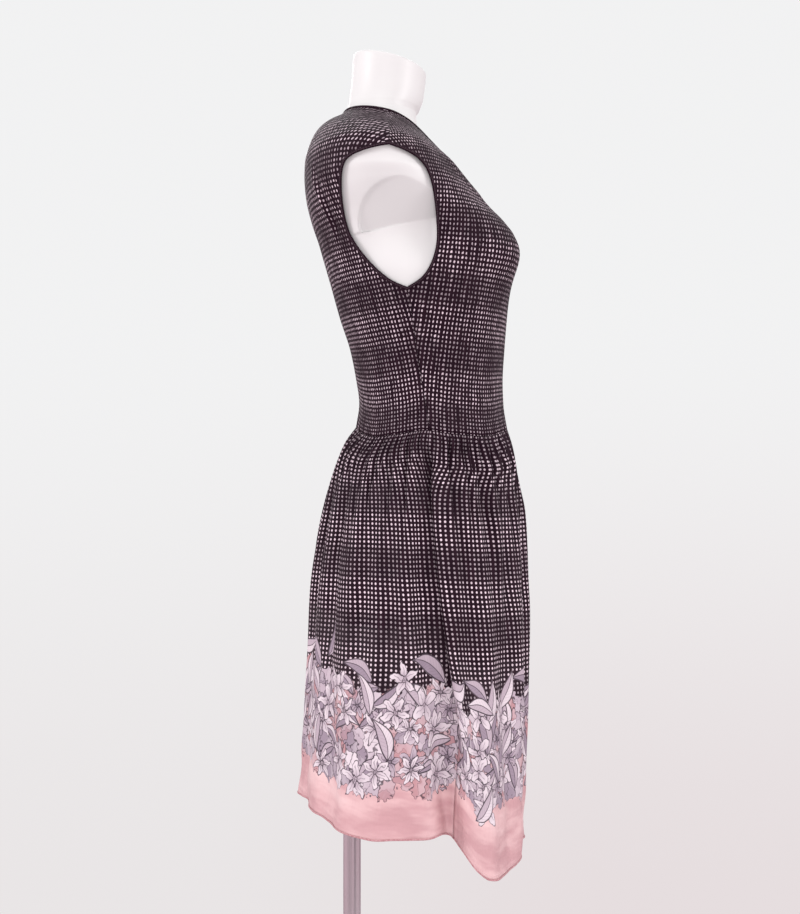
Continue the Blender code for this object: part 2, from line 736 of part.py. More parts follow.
def stand():
    bottom, top = BASE_THICK + GAP, FORM_RING_Z[0] - GAP
    upright_disc("base_plate", BASE_RADIUS, 0.0, BASE_THICK, 0.0, bevel=BASE_BEVEL, segments=56)
    upright_disc("pole", POLE_RADIUS, bottom, top, POLE_Y, segments=24)
    collar("base_collar", COLLAR_WALL, bottom, bottom + COLLAR_HEIGHT)
    collar("top_socket", SOCKET_WALL, top - SOCKET_HEIGHT, top)


BODICE_CURVE = Curve(BODICE)
SKIRT_CURVE = Curve(SKIRT)
HEM_CURVE = Curve(HEM)
FORM_HIPS_CURVE = Curve(FORM_HIPS)
FORM_NECK_CURVE = Curve(FORM_NECK)

for old in list(bpy.data.objects):
    bpy.data.objects.remove(old, do_unlink=True)
parts = bpy.data.collections.new("dress_on_form")
bpy.context.scene.collection.children.link(parts)
materials = {slot: material(slot) for slot in COLOURS}
dress()
dress_form()
stand()
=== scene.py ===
"""A sleeveless dotted dress with a flower border and a pink hem, worn on a white form with a pole.

Metres, +Z up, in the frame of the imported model. The front faces -Y and the wearer's right side -X.
Turns are degrees round the body: 0 is the front, 90 the wearer's right side, 180 the back.
"""

import math
from collections import namedtuple

import bpy
import numpy as np
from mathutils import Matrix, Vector


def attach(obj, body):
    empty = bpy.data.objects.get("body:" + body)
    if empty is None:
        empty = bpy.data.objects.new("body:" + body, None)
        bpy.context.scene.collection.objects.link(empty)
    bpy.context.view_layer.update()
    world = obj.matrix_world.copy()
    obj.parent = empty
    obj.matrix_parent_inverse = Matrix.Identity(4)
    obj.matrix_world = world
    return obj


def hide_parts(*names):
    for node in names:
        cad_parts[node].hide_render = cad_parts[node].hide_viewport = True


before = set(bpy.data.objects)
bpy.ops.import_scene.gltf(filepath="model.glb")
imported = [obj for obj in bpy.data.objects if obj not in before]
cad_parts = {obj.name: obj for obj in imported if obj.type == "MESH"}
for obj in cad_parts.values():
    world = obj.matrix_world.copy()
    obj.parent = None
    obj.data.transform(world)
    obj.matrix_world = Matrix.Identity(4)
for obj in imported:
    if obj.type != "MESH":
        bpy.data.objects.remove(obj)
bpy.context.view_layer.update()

# Heights and seams, as the solids have them
WAIST_Z = 1.050
ARMPIT_Z = 1.205
NECK_V_Z = 1.302
NECK_POINT_Z = 1.419
NAPE_Z = 1.431
SIDE_SEAM_WAIST_Y = 0.0052
ARMPIT_Y = 0.0305
NECK_POINT_X = 0.0672
NECK_V_BOW = 0.85
RIGHT_SEAM_HEM_TURN = 75.0
LEFT_SEAM_HEM_TURN = 283.0
SKIRT_SEAM_BEND = 1.6
SEAM_HALF_GAP = 0.00003

# The cloth as it is seen: thin, and just inside the solids' outer face
CLOTH_THICK = 0.0005
CLOTH_INSET = 0.0004
SOLID_CLOTH = 0.0015
FORM_CLEARANCE = 0.0025
SKIRT_CLEARANCE = 0.0009

# Faces per piece
SKIRT_COLUMNS, SKIRT_ROWS = 340, 110
BODICE_COLUMNS, BODICE_ROWS = 80, 110
FORM_COLUMNS = 380
FORM_HEIGHTS = [(0.786, 1.050, 36), (1.050, 1.260, 36), (1.260, 1.356, 88), (1.356, 1.432, 40)]
NECK_ROWS, CAP_ROWS = 16, 14
BINDING_STEPS = 260
LAST_COLUMN = 0.9999
ON_MIDDLE = 0.0002
ROWS_NEARER_NECK = 1.4
ROWS_NEARER_WAIST = 1.15
SEAM_HALF_TURN, SEAM_HOLD = 0.03, 0.02
ARMPIT_SHARE = 0.30
FRONT_NECK_SHARE = 0.45
BACK_NECK_SHARE = 0.70
MERGE_DISTANCE = 0.00001
TURN_STEP, HEIGHT_STEP = 0.05, 0.0004
JUST_UNDER, JUST_OVER = 0.0005, 0.0001

Section = namedtuple("Section", "z half_width widest front back front_fullness back_fullness")
Place = namedtuple("Place", "y z")
EdgePoint = namedtuple("EdgePoint", "turn z")
Fold = namedtuple("Fold", "waist_turn hem_turn begins full mid_depth hem_depth mid_width hem_width")
Crease = namedtuple("Crease", "turn z end_turn end_z depth width")
Ripple = namedtuple("Ripple", "depth around down shift")
Shift = namedtuple("Shift", "size turns start")
Lamp = namedtuple("Lamp", "name place size power")

BODICE = [Section(*row) for row in (
    (1.050, 0.1160, 0.001, -0.0900, 0.0915, 2.20, 2.20),
    (1.079, 0.1130, 0.001, -0.0855, 0.0876, 2.20, 2.20),
    (1.108, 0.1150, 0.003, -0.0845, 0.0912, 2.20, 2.20),
    (1.146, 0.1215, 0.006, -0.0865, 0.0984, 2.25, 2.20),
    (1.184, 0.1300, 0.011, -0.0893, 0.1104, 2.35, 2.25),
    (1.223, 0.1375, 0.014, -0.0925, 0.1212, 2.50, 2.35),
    (1.257, 0.1435, 0.018, -0.0945, 0.1310, 2.60, 2.40),
    (1.276, 0.1490, 0.022, -0.0925, 0.1365, 2.50, 2.40),
    (1.290, 0.1560, 0.026, -0.0860, 0.1415, 2.30, 2.40),
    (1.305, 0.1655, 0.033, -0.0720, 0.1460, 2.12, 2.40),
    (1.320, 0.1745, 0.042, -0.0595, 0.1495, 2.05, 2.30),
    (1.335, 0.1800, 0.050, -0.0465, 0.1515, 2.00, 2.20),
    (1.350, 0.1800, 0.057, -0.0345, 0.1524, 2.00, 2.10),
    (1.365, 0.1720, 0.063, -0.0220, 0.1520, 2.00, 2.05),
    (1.378, 0.1530, 0.068, -0.0105, 0.1495, 2.00, 2.00),
    (1.391, 0.1300, 0.072, 0.0010, 0.1455, 2.00, 2.00),
    (1.402, 0.1060, 0.074, 0.0085, 0.1405, 2.00, 2.00),
    (1.412, 0.0830, 0.073, 0.0130, 0.1325, 2.00, 2.00),
    (1.421, 0.0675, 0.068, 0.0145, 0.1165, 2.00, 2.00),
    (1.432, 0.0560, 0.061, 0.0150, 0.1035, 2.00, 2.00),
)]
SKIRT = [Section(*row) for row in (
    (1.050, 0.1160, 0.001, -0.0900, 0.0915, 2.20, 2.20),
    (1.031, 0.1270, 0.005, -0.0960, 0.1054, 2.20, 2.20),
    (0.992, 0.1450, 0.010, -0.1044, 0.1220, 2.20, 2.15),
    (0.954, 0.1580, 0.014, -0.1116, 0.1332, 2.20, 2.10),
    (0.916, 0.1690, 0.018, -0.1140, 0.1414, 2.20, 2.05),
    (0.877, 0.1780, 0.021, -0.1152, 0.1470, 2.20, 2.05),
    (0.839, 0.1860, 0.024, -0.1164, 0.1508, 2.25, 2.00),
    (0.791, 0.1950, 0.027, -0.1170, 0.1538, 2.25, 2.00),
    (0.733, 0.2050, 0.030, -0.1160, 0.1574, 2.35, 2.00),
    (0.676, 0.2140, 0.033, -0.1140, 0.1608, 2.40, 2.00),
    (0.620, 0.2215, 0.035, -0.1125, 0.1625, 2.50, 2.00),
    (0.570, 0.2250, 0.036, -0.1115, 0.1630, 2.60, 2.00),
)]
FORM_HIPS = [Section(*row) for row in (
    (0.780, 0.1380, 0.020, -0.0760, 0.1150, 2.20, 2.20),
    (0.786, 0.1430, 0.019, -0.0810, 0.1195, 2.20, 2.20),
    (0.820, 0.1500, 0.018, -0.0870, 0.1235, 2.20, 2.20),
    (0.860, 0.1520, 0.016, -0.0910, 0.1225, 2.20, 2.20),
    (0.900, 0.1470, 0.012, -0.0920, 0.1160, 2.20, 2.20),
    (0.950, 0.1360, 0.007, -0.0910, 0.1050, 2.20, 2.20),
    (1.000, 0.1210, 0.003, -0.0880, 0.0940, 2.20, 2.20),
    (1.050, 0.1125, 0.001, -0.0865, 0.0880, 2.20, 2.20),
)]
FORM_NECK = [Section(*row) for row in (
    (1.432, 0.0535, 0.060, 0.0170, 0.1025, 2.00, 2.00),
    (1.447, 0.0500, 0.055, 0.0110, 0.0995, 2.00, 2.00),
    (1.465, 0.0485, 0.053, 0.0085, 0.0970, 2.00, 2.00),
    (1.490, 0.0485, 0.051, 0.0060, 0.0950, 2.00, 2.00),
    (1.515, 0.0490, 0.049, 0.0040, 0.0940, 2.00, 2.00),
)]
# The underside's rings, each a share of the way out from the middle and a height
FORM_UNDERSIDE = [(0, 0.780), (0.3, 0.780), (0.72, 0.780), (0.955, 0.780), (0.98, 0.7812), (0.995, 0.7835)]
FORM_FOOT_MIDDLE = np.array([0.0, 0.018, 0.0])
NECK_MIDDLE = np.array([0.0, 0.0495, 0.0])
NECK_TOP_Z, NECK_TOP_SLOPE = 1.4878, 0.0108
CAP_HEIGHT, CAP_ROUND = 0.003, 0.06
# The flat cut of the arm leans in toward the armpit
ARM_FACE_X, ARM_FACE_Z, ARM_FACE_LEAN, ARM_FACE_BOW = 0.1432, 1.290, 0.88, 3.0
ARM_FACE_LOW_Z, ARM_FACE_LOW_SLOPE, ARM_FACE_EDGE = 1.2818, 0.178, 0.10
ARM_FACE_MIDDLE, ARM_FACE_HALF_SIZE = np.array([0.033, 1.279]), np.array([0.051, 0.042])
SIDE_DIP, SIDE_DIP_LOW_Z = 0.0130, 1.222
SIDE_DIP_FRONT, SIDE_DIP_BACK = (-0.020, 0.004), (0.060, 0.095)
CUP_TURN, CUP_TURN_SPREAD = 36.0, 22.0
CUP_Z, CUP_Z_SPREAD = 1.252, 0.030
CUP_HEIGHT = 0.0125

ARMHOLE_FRONT = [
    Place(ARMPIT_Y, ARMPIT_Z),
    Place(0.0120, 1.2180),
    Place(0.0005, 1.2400),
    Place(-0.0025, 1.2680),
    Place(0.0040, 1.3150),
    Place(0.0190, 1.3395),
    Place(0.0500, 1.3520),
]
ARMHOLE_BACK = [
    Place(ARMPIT_Y, ARMPIT_Z),
    Place(0.0520, 1.2155),
    Place(0.0760, 1.2385),
    Place(0.0950, 1.2680),
    Place(0.1022, 1.3000),
    Place(0.1008, 1.3300),
    Place(0.0890, 1.3430),
    Place(0.0500, 1.3520),
]
# The hem's height at each turn
HEM = [EdgePoint(*row) for row in (
    (0, 0.579), (34, 0.583), (44, 0.580), (54, 0.578), (62, 0.579), (67, 0.583),
    (70, 0.592), (73, 0.611), (76, 0.624), (80, 0.627), (98, 0.624), (112, 0.627),
    (126, 0.632), (180, 0.635), (234, 0.632), (260, 0.626), (279, 0.625), (285, 0.606),
    (291, 0.585), (300, 0.578), (325, 0.577), (360, 0.579),
)]
# The long folds of the solids
FOLDS = [Fold(*row) for row in (
    (8, 12, 0.04, 0.35, 0.010, 0.012, 0.010, 0.024),
    (27, 33, 0.02, 0.30, 0.009, 0.014, 0.009, 0.020),
    (46, 55, 0.06, 0.35, 0.010, 0.005, 0.010, 0.020),
    (65, 48, 0.02, 0.20, 0.010, 0.001, 0.009, 0.016),
    (74, 66, 0.40, 1.00, -0.003, -0.012, 0.022, 0.028),
    (77, 64, 0.02, 0.12, 0.007, 0.000, 0.007, 0.012),
    (85, 66, 0.02, 0.20, 0.009, 0.000, 0.008, 0.012),
    (95.5, 76, 0.01, 0.30, 0.014, 0.025, 0.010, 0.016),
    (104.5, 92, 0.02, 0.28, 0.009, 0.006, 0.009, 0.018),
    (113, 104, 0.02, 0.22, 0.009, 0.003, 0.009, 0.018),
    (138, 116, 0.03, 0.30, 0.013, 0.009, 0.010, 0.022),
    (156, 141, 0.03, 0.35, 0.010, 0.008, 0.010, 0.024),
    (172, 165, 0.03, 0.40, 0.009, 0.011, 0.010, 0.024),
    (189, 189, 0.02, 0.35, 0.010, 0.010, 0.010, 0.024),
    (207, 213, 0.03, 0.40, 0.012, 0.015, 0.010, 0.020),
    (225, 236, 0.04, 0.35, 0.009, 0.010, 0.009, 0.024),
    (243, 258, 0.02, 0.30, 0.011, 0.012, 0.009, 0.022),
    (264, 282, 0.02, 0.35, 0.014, 0.022, 0.009, 0.017),
    (276, 291, 0.03, 0.25, 0.009, 0.002, 0.008, 0.014),
    (285, 295, 0.40, 1.00, -0.003, -0.010, 0.024, 0.030),
    (296, 308, 0.03, 0.30, 0.010, 0.012, 0.009, 0.018),
    (318, 323, 0.02, 0.30, 0.010, 0.014, 0.009, 0.020),
    (340, 343, 0.03, 0.35, 0.009, 0.012, 0.009, 0.022),
)]
# The gathers under the waist seam: how they grow from it and fade, and how uneven they are
GATHERS, SMALL_GATHERS = 19, 49.4
GATHER_DEPTH, SMALL_GATHER_DEPTH = 0.0110, 0.0042
GATHER_GROWS, GATHER_FADES, GATHER_SHARPNESS = (-0.02, 0.08), (0.08, 0.46), 0.6
SMALL_GATHER_GROWS, SMALL_GATHER_FADES, SMALL_GATHER_START = (-0.01, 0.02), (0.02, 0.20), 0.8
GATHER_LEAST, GATHER_VARIES, GATHER_VARIES_TURNS = 0.78, 0.22, 11
GATHER_SHIFTS = [Shift(0.009, 3, 0.31), Shift(0.004, 47, 1.7)]
# The slight unevenness of light cloth as it hangs: waves round the body and down the skirt
RIPPLES = [
    Ripple(0.0009, 9, 5, 1.0),
    Ripple(0.0009, 17, -7, 2.1),
    Ripple(0.00025, 41, 9, 0.0),
    Ripple(0.00025, 53, -6, 1.0),
]
PATCHES, HEM_RIPPLES = (3, 5, 21), (38, 4, 3)
PATCH_DEPTH, HEM_RIPPLE_DEPTH = 0.0004, 0.0016
RIPPLES_GROW, HEM_RIPPLES_GROW = (0.05, 0.40), (0.80, 0.97)
# How deep a valley, a gather and a crease are where the painted shade in them is darkest
SEAM_SHADE, GATHER_SHADE, CREASE_SHADE = 0.0185, 0.0105, 0.0045
# The valley along each side seam of the skirt, and the fine sunk line along the bodice's
SKIRT_RADIUS, SEAM_VALLEY_DEPTH, SEAM_VALLEY_WIDTH = 0.15, 0.0270, 0.0060
VALLEY_GROWS, VALLEY_FADES = (0.0, 0.12), (0.55, 0.97)
BODICE_RADIUS, SEAM_SINK, SEAM_SINK_WIDTH = 0.115, 0.0009, 0.0022
BODICE_PUCKERS, BODICE_PUCKER_DEPTH, BODICE_PUCKER_FADE = 30, 0.0009, 0.013
PUCKER_SHIFT, PUCKER_SHIFTS = 2.3, 9

# The bindings' profile: across the edge, away from the opening, and out of the cloth
BINDING_ACROSS, BINDING_LIFT = (-0.0011, 0.0023), (-0.0010, 0.0008)
ARMHOLE_CENTRE, NECK_CENTRE = np.array([-0.2, 0.05, 1.28]), np.array([0.0, 0.05, 1.47])
HEM_ROLL_THICK, HEM_ROLL_HEIGHT = 0.0008, (-0.0004, 0.0016)
STRIP_ROUND = 0.008

# How far the waist seam rises and dips from the front round to the back, the same on both sides
WAIST_RISE = [EdgePoint(*row) for row in (
    (0, 0.0040), (30, 0.0000), (60, -0.0062), (80, -0.0038), (95, 0.0000),
    (110, -0.0040), (127, -0.0068), (150, -0.0010), (168, 0.0055), (180, 0.0055),
)]
RISE_FADE = 0.085
RISE_ON_SKIRT = 0.25

# Soft creases of the bodice, each from one place to another: how they fade in and out along
# their length, and the low ridge beside each, in widths away and as a share of the depth
CREASE_BEGINS, CREASE_ENDS = (-0.12, 0.25), (0.70, 1.15)
RIDGE_AWAY, RIDGE_SHARE = 1.9, 0.7
METRES_PER_DEGREE = 0.0024
CREASES = [Crease(*row) for row in (
    (52, 1.372, 24, 1.318, 0.0030, 0.0055),
    (60, 1.358, 30, 1.300, 0.0024, 0.0050),
    (308, 1.372, 336, 1.318, 0.0027, 0.0055),
    (300, 1.356, 331, 1.298, 0.0022, 0.0050),
    (126, 1.345, 130, 1.262, 0.0026, 0.0042),
    (236, 1.340, 231, 1.268, 0.0022, 0.0042),
    (82, 1.190, 62, 1.215, 0.0009, 0.0070),
    (276, 1.186, 297, 1.214, 0.0009, 0.0070),
    (112, 1.150, 140, 1.135, 0.0008, 0.0080),
    (247, 1.146, 221, 1.133, 0.0008, 0.0080),
    (70, 1.105, 40, 1.092, 0.0007, 0.0070),
    (292, 1.108, 322, 1.094, 0.0007, 0.0070),
)]

# The print. The border's heights are from the top of the pink band.
DOT_ACROSS, DOT_DOWN = 0.0062, 0.00505
DOT_RADIUS, CRINKLED_DOT_RADIUS = 0.00120, 0.00122
CHECK_PITCH, CHECK_START = 0.072, -0.006
BODICE_SHIRR = 1.42
LEVEL_FRONT, LEVEL_BACK = 0.35, 0.60
WAIST_CROWD, WAIST_CROWD_FADE = 0.008, 0.030
FOLD_IN_PRINT = 0.05
PINK_BACK, PINK_FRONT, PINK_TURNS = 0.048, 0.070, (66, 80)
BORDER_ZONE = 0.215

# The camera, from the photograph
CAMERA_PLACE = (-1.5, 0.0384, 1.02)
CAMERA_LENS, CAMERA_SENSOR = 49.2, 36.0
# The lamps, all turned toward the dress
LAMPS = [
    Lamp("key", (-1.1, 3.1, 2.3), 0.9, 52),
    Lamp("fill", (-1.3, -2.8, 2.1), 1.2, 40),
    Lamp("back", (2.4, 0.4, 2.4), 1.6, 26),
    Lamp("low", (-3.4, 0.0, 0.30), 1.4, 46),
]
LAMPS_AIM = (0, 0, 1.0)


class Rows:
    """A smooth curve through the rows of a table, read by its first column."""

    def __init__(self, rows):
        self.kind = type(rows[0])
        self.table = np.array(sorted(rows), float)
        slope = np.diff(self.table, axis=0) / np.diff(self.table[:, :1], axis=0)
        product, total = slope[:-1] * slope[1:], slope[:-1] + slope[1:]
        inner = np.where(product > 0, 2 * product / np.where(total == 0, 1, total), 0)
        self.slopes = np.vstack([slope[:1], inner, slope[-1:]])

    def at(self, key):
        keys = self.table[:, 0]
        key = np.clip(key, keys[0], keys[-1])
        n = np.clip(np.searchsorted(keys, key, side="right") - 1, 0, len(keys) - 2)
        span = (keys[n + 1] - keys[n])[..., None]
        t = (key - keys[n])[..., None] / span
        value = (
            (2 * t**3 - 3 * t**2 + 1) * self.table[n]
            + (t**3 - 2 * t**2 + t) * span * self.slopes[n]
            + (3 * t**2 - 2 * t**3) * self.table[n + 1]
            + (t**3 - t**2) * span * self.slopes[n + 1]
        )
        return self.kind(*np.moveaxis(value, -1, 0))


def smoothstep(low, high, value):
    share = np.clip((value - low) / (high - low), 0, 1)
    return share * share * (3 - 2 * share)


def unit(vectors):
    return vectors / np.linalg.norm(vectors, axis=-1, keepdims=True)


def bell(distance, width):
    """1 at no distance, and fading smoothly within a width or two."""
    return np.exp(-((distance / width) ** 2))


def apart(turn, other):
    """The signed difference of two turns, in degrees, the short way round."""
    return (turn - other + 180) % 360 - 180


def through_places(places, share):
    """Points on a smooth curve through places, at shares of the way along them."""
    places = np.array(places)
    steps = np.concatenate([[0], np.cumsum(np.hypot(*np.diff(places, axis=0).T))])
    at = np.clip(share, 0, 1) * steps[-1]
    n = np.clip(np.searchsorted(steps, at, side="right") - 1, 0, len(places) - 2)
    t = ((at - steps[n]) / (steps[n + 1] - steps[n]))[..., None]
    a, b, c, d = (places[np.clip(n + k, 0, len(places) - 1)] for k in (-1, 0, 1, 2))
    curve = 2 * b + (c - a) * t + (2 * a - 5 * b + 4 * c - d) * t**2 + (3 * b - a - 3 * c + d) * t**3
    return curve[..., 0] / 2, curve[..., 1] / 2


def section_radius(section, turn):
    angle = np.radians(turn)
    front = np.cos(angle) > 0
    depth = np.where(front, section.widest - section.front, section.back - section.widest)
    fullness = np.where(front, section.front_fullness, section.back_fullness)
    across = np.abs(np.sin(angle) / section.half_width) ** fullness
    along = np.abs(np.cos(angle) / depth) ** fullness
    return (across + along) ** (-1 / fullness)


def place_on(section, turn, radius):
    angle = np.radians(turn)
    x, y = -radius * np.sin(angle), section.widest - radius * np.cos(angle)
    return np.stack([x, y, section.z + 0 * x], axis=-1)


bodice_rows, skirt_rows, hem_rows = Rows(BODICE), Rows(SKIRT), Rows(HEM)
hips_rows, neck_rows, rise_rows = Rows(FORM_HIPS), Rows(FORM_NECK), Rows(WAIST_RISE)


def bodice_point(turn, z):
    section = bodice_rows.at(z)
    cup = bell(np.abs(apart(turn, 0)) - CUP_TURN, CUP_TURN_SPREAD) * bell(z - CUP_Z, CUP_Z_SPREAD)
    return place_on(section, turn, section_radius(section, turn) + CUP_HEIGHT * cup)


def outward(point_at, turn, height, upward=HEIGHT_STEP):
    """The direction out of a surface, at turns and heights on it."""
    across = point_at(turn + TURN_STEP, height) - point_at(turn - TURN_STEP, height)
    rise = point_at(turn, height + upward) - point_at(turn, height - upward)
    return unit(np.cross(rise, across))


def turn_where(test, low, high):
    """The turns between low and high where test changes from true to false."""
    for _ in range(30):
        middle = (low + high) / 2
        yes = test(middle)
        low, high = np.where(yes, middle, low), np.where(yes, high, middle)
    return (low + high) / 2


def turn_at_y(y, z):
    return turn_where(lambda turn: bodice_point(turn, z)[..., 1] < y, 0 * z, 0 * z + 180)


def side_seam(share):
    z = WAIST_Z + (ARMPIT_Z - WAIST_Z) * share
    return turn_at_y(SIDE_SEAM_WAIST_Y + (ARMPIT_Y - SIDE_SEAM_WAIST_Y) * share, z), z


def armhole(places, share):
    y, z = through_places(places, share)
    return turn_at_y(y, z), z


def front_neck(share):
    z = NECK_V_Z + (NECK_POINT_Z - NECK_V_Z) * share
    x = NECK_POINT_X * share**NECK_V_BOW
    return turn_where(lambda turn: -bodice_point(turn, z)[..., 0] < x, 0 * z, 0 * z + 90), z


def back_neck(share):
    shoulder_turn = front_neck(np.ones(1))[0][0]
    return 180 + (shoulder_turn - 180) * share, NAPE_Z + (NECK_POINT_Z - NAPE_Z) * share**2


def front_middle(share):
    return 0 * share, NECK_V_Z + (WAIST_Z - NECK_V_Z) * (1 - share) ** ROWS_NEARER_NECK


def back_middle(share):
    return 180 + 0 * share, NAPE_Z + (WAIST_Z - NAPE_Z) * (1 - share) ** ROWS_NEARER_NECK


def meet(first, second, share, change):
    """Places along one line up to a share of the way, and then along another."""
    one = first(np.clip(share / change, 0, 1))
    two = second(np.clip((share - change) / (1 - change), 0, 1))
    return [np.where(share <= change, a, b) for a, b in zip(one, two)]


def waist_rise(turn, fade):
    return rise_rows.at(np.abs(apart(turn, 0))).z * fade


def crease_sink(turn, z):
    """How deep the bodice's soft creases are at a place."""
    sink = 0 * z
    for crease in CREASES:
        run = np.array([apart(crease.end_turn, crease.turn) * METRES_PER_DEGREE, crease.end_z - crease.z])
        length = math.hypot(*run)
        from_start = np.stack([apart(turn, crease.turn) * METRES_PER_DEGREE, z - crease.z], axis=-1)
        along = from_start @ run / length**2
        across = from_start @ np.array([-run[1], run[0]]) / length
        fade = smoothstep(*CREASE_BEGINS, along) * (1 - smoothstep(*CREASE_ENDS, along))
        ridge = bell(across - RIDGE_AWAY * crease.width, crease.width)
        sink = sink + crease.depth * fade * (bell(across, crease.width) - RIDGE_SHARE * ridge)
    return sink


def skirt_point(turn, drop, folded=1.0):
    """The outside of the skirt without its gathers: drop 0 is the waist seam and 1 the hem."""
    hem_z = hem_rows.at(turn % 360).z
    section = skirt_rows.at(WAIST_Z + (hem_z - WAIST_Z) * drop)
    radius = section_radius(section, turn)
    sink = 0 * radius
    for fold in FOLDS:
        at = fold.waist_turn + (fold.hem_turn - fold.waist_turn) * drop
        depth = fold.mid_depth + (fold.hem_depth - fold.mid_depth) * drop
        width = fold.mid_width + (fold.hem_width - fold.mid_width) * drop
        away = np.radians(apart(turn, at)) * radius
        sink = sink + smoothstep(fold.begins, fold.full, drop) * depth * bell(away, width)
    return place_on(section, turn, radius - sink * folded)


def gather_sink(share, drop, panel):
    """The gathers under the waist seam, uneven from one to the next."""
    slow, quick = GATHER_SHIFTS
    slow_shift = slow.size * np.sin(2 * np.pi * (slow.turns * share + slow.start * panel))
    share = share + slow_shift + quick.size * np.sin(quick.turns * share + quick.start * panel)
    grown = smoothstep(*GATHER_GROWS, drop) * (1 - smoothstep(*GATHER_FADES, drop))
    uneven = GATHER_LEAST + GATHER_VARIES * np.sin(GATHER_VARIES_TURNS * share + 1 + panel)
    wave = 1 - np.abs(np.sin(np.pi * GATHERS * share)) ** GATHER_SHARPNESS
    small = 0.5 + 0.5 * np.cos(2 * np.pi * SMALL_GATHERS * share + SMALL_GATHER_START)
    early = smoothstep(*SMALL_GATHER_GROWS, drop) * (1 - smoothstep(*SMALL_GATHER_FADES, drop))
    return GATHER_DEPTH * grown * uneven * wave + SMALL_GATHER_DEPTH * early * small**2


def seam_turn(seam, drop):
    """Where a side seam of the skirt is, from its turns at the waist and at the hem."""
    waist_turn, hem_turn = seam
    return hem_turn + (waist_turn - hem_turn) * (1 - drop) ** SKIRT_SEAM_BEND


def clear_of_form(points):
    """Moves a skirt's points out to just above the form's hips."""
    section = hips_rows.at(points[:, 2])
    x, y = points[:, 0], points[:, 1] - section.widest
    turn = np.degrees(np.arctan2(-x, -y))
    least = section_radius(section, turn) + SKIRT_CLEARANCE
    grow = np.where(points[:, 2] > FORM_HIPS[0].z, np.maximum(1, least / np.hypot(x, y)), 1)
    return np.stack([x * grow, section.widest + y * grow, points[:, 2]], axis=1)


def select_only(piece):
    bpy.ops.object.select_all(action="DESELECT")
    piece.select_set(True)
    bpy.context.view_layer.objects.active = piece


def of_vertices(piece, key):
    """A vector of each vertex: its place, co, or its normal."""
    flat = np.empty(len(piece.data.vertices) * 3)
    piece.data.vertices.foreach_get(key, flat)
    return flat.reshape(-1, 3)


def of_corners(mesh):
    """The vertex at each face corner."""
    vertex = np.empty(len(mesh.loops), int)
    mesh.loops.foreach_get("vertex_index", vertex)
    return vertex


def grid(name, columns, rows):
    """A flat grid of one metre, with each vertex's share of the way across and along it."""
    bpy.ops.object.select_all(action="DESELECT")
    bpy.ops.mesh.primitive_grid_add(x_subdivisions=columns, y_subdivisions=rows, size=1)
    piece = bpy.context.object
    piece.name = piece.data.name = name
    across, along, _ = np.clip(of_vertices(piece, "co") + 0.5, 0, 1).T
    return piece, across, along


def lay(piece, points):
    piece.data.vertices.foreach_set("co", points.ravel())
    piece.data.update()


def write_uv(piece, name, across, along):
    mesh = piece.data
    layer = mesh.uv_layers.get(name) or mesh.uv_layers.new(name=name)
    layer.data.foreach_set("uv", np.stack([across, along], axis=-1)[of_corners(mesh)].ravel())


def edit(piece, *steps):
    """Runs edit mode operators, each a name and its settings, on the whole of a piece."""
    select_only(piece)
    bpy.ops.object.mode_set(mode="EDIT")
    bpy.ops.mesh.select_mode(type="VERT")
    for step, settings in steps:
        bpy.ops.mesh.select_all(action="SELECT")
        getattr(bpy.ops.mesh, step)(**settings)
    bpy.ops.object.mode_set(mode="OBJECT")


def face_outward(piece, normals):
    """Turns the faces round if they point into the body."""
    if (of_vertices(piece, "normal") * normals).sum() < 0:
        edit(piece, ("flip_normals", {}))


def apply(piece, kind, **settings):
    select_only(piece)
    modifier = piece.modifiers.new(kind.lower(), kind)
    for key, value in settings.items():
        setattr(modifier, key, value)
    bpy.ops.object.modifier_apply(modifier=modifier.name)


def finish_cloth(piece, slot, *materials):
    apply(piece, "SOLIDIFY", thickness=CLOTH_THICK, offset=-1, use_even_offset=False)
    finish_piece(piece, slot, *materials)


def finish_piece(piece, slot, *materials):
    for material in materials:
        piece.data.materials.append(material)
    piece.data.shade_smooth()
    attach(piece, "root")
    return piece


def bodice_grid(side, across, along):
    """Turns and heights over half a panel: across runs from the middle to the side, along upward."""
    if side == "front":
        inner = meet(front_middle, front_neck, along, FRONT_NECK_SHARE)
        places = ARMHOLE_FRONT
    else:
        inner = meet(back_middle, back_neck, along, BACK_NECK_SHARE)
        places = ARMHOLE_BACK
    outer = meet(side_seam, lambda share: armhole(places, share), along, ARMPIT_SHARE)
    turn = inner[0] + (outer[0] - inner[0]) * across
    return turn, inner[1] + (outer[1] - inner[1]) * across


def unwrap(piece):
    """Lays the panel flat as its paper pattern, in metres, with its middle line upright."""
    select_only(piece)
    bpy.ops.object.mode_set(mode="EDIT")
    bpy.ops.mesh.select_all(action="SELECT")
    bpy.ops.uv.unwrap(method="CONFORMAL", margin=0)
    bpy.ops.object.mode_set(mode="OBJECT")
    mesh = piece.data
    flat = np.empty(len(mesh.loops) * 2)
    mesh.uv_layers.active.data.foreach_get("uv", flat)
    uv = np.zeros((len(mesh.vertices), 2))
    uv[of_corners(mesh)] = flat.reshape(-1, 2)
    points = of_vertices(piece, "co")
    middle = np.flatnonzero(np.abs(points[:, 0]) < ON_MIDDLE)
    middle = middle[np.argsort(points[middle, 2])]
    length = np.linalg.norm(np.diff(points[middle], axis=0), axis=1).sum()
    middle_line = uv[middle[-1]] - uv[middle[0]]
    scale, up = length / np.linalg.norm(middle_line), unit(middle_line)
    right = np.array([up[1], -up[0]])
    from_low = (uv - uv[middle[0]]) * scale
    return from_low @ right, from_low @ up


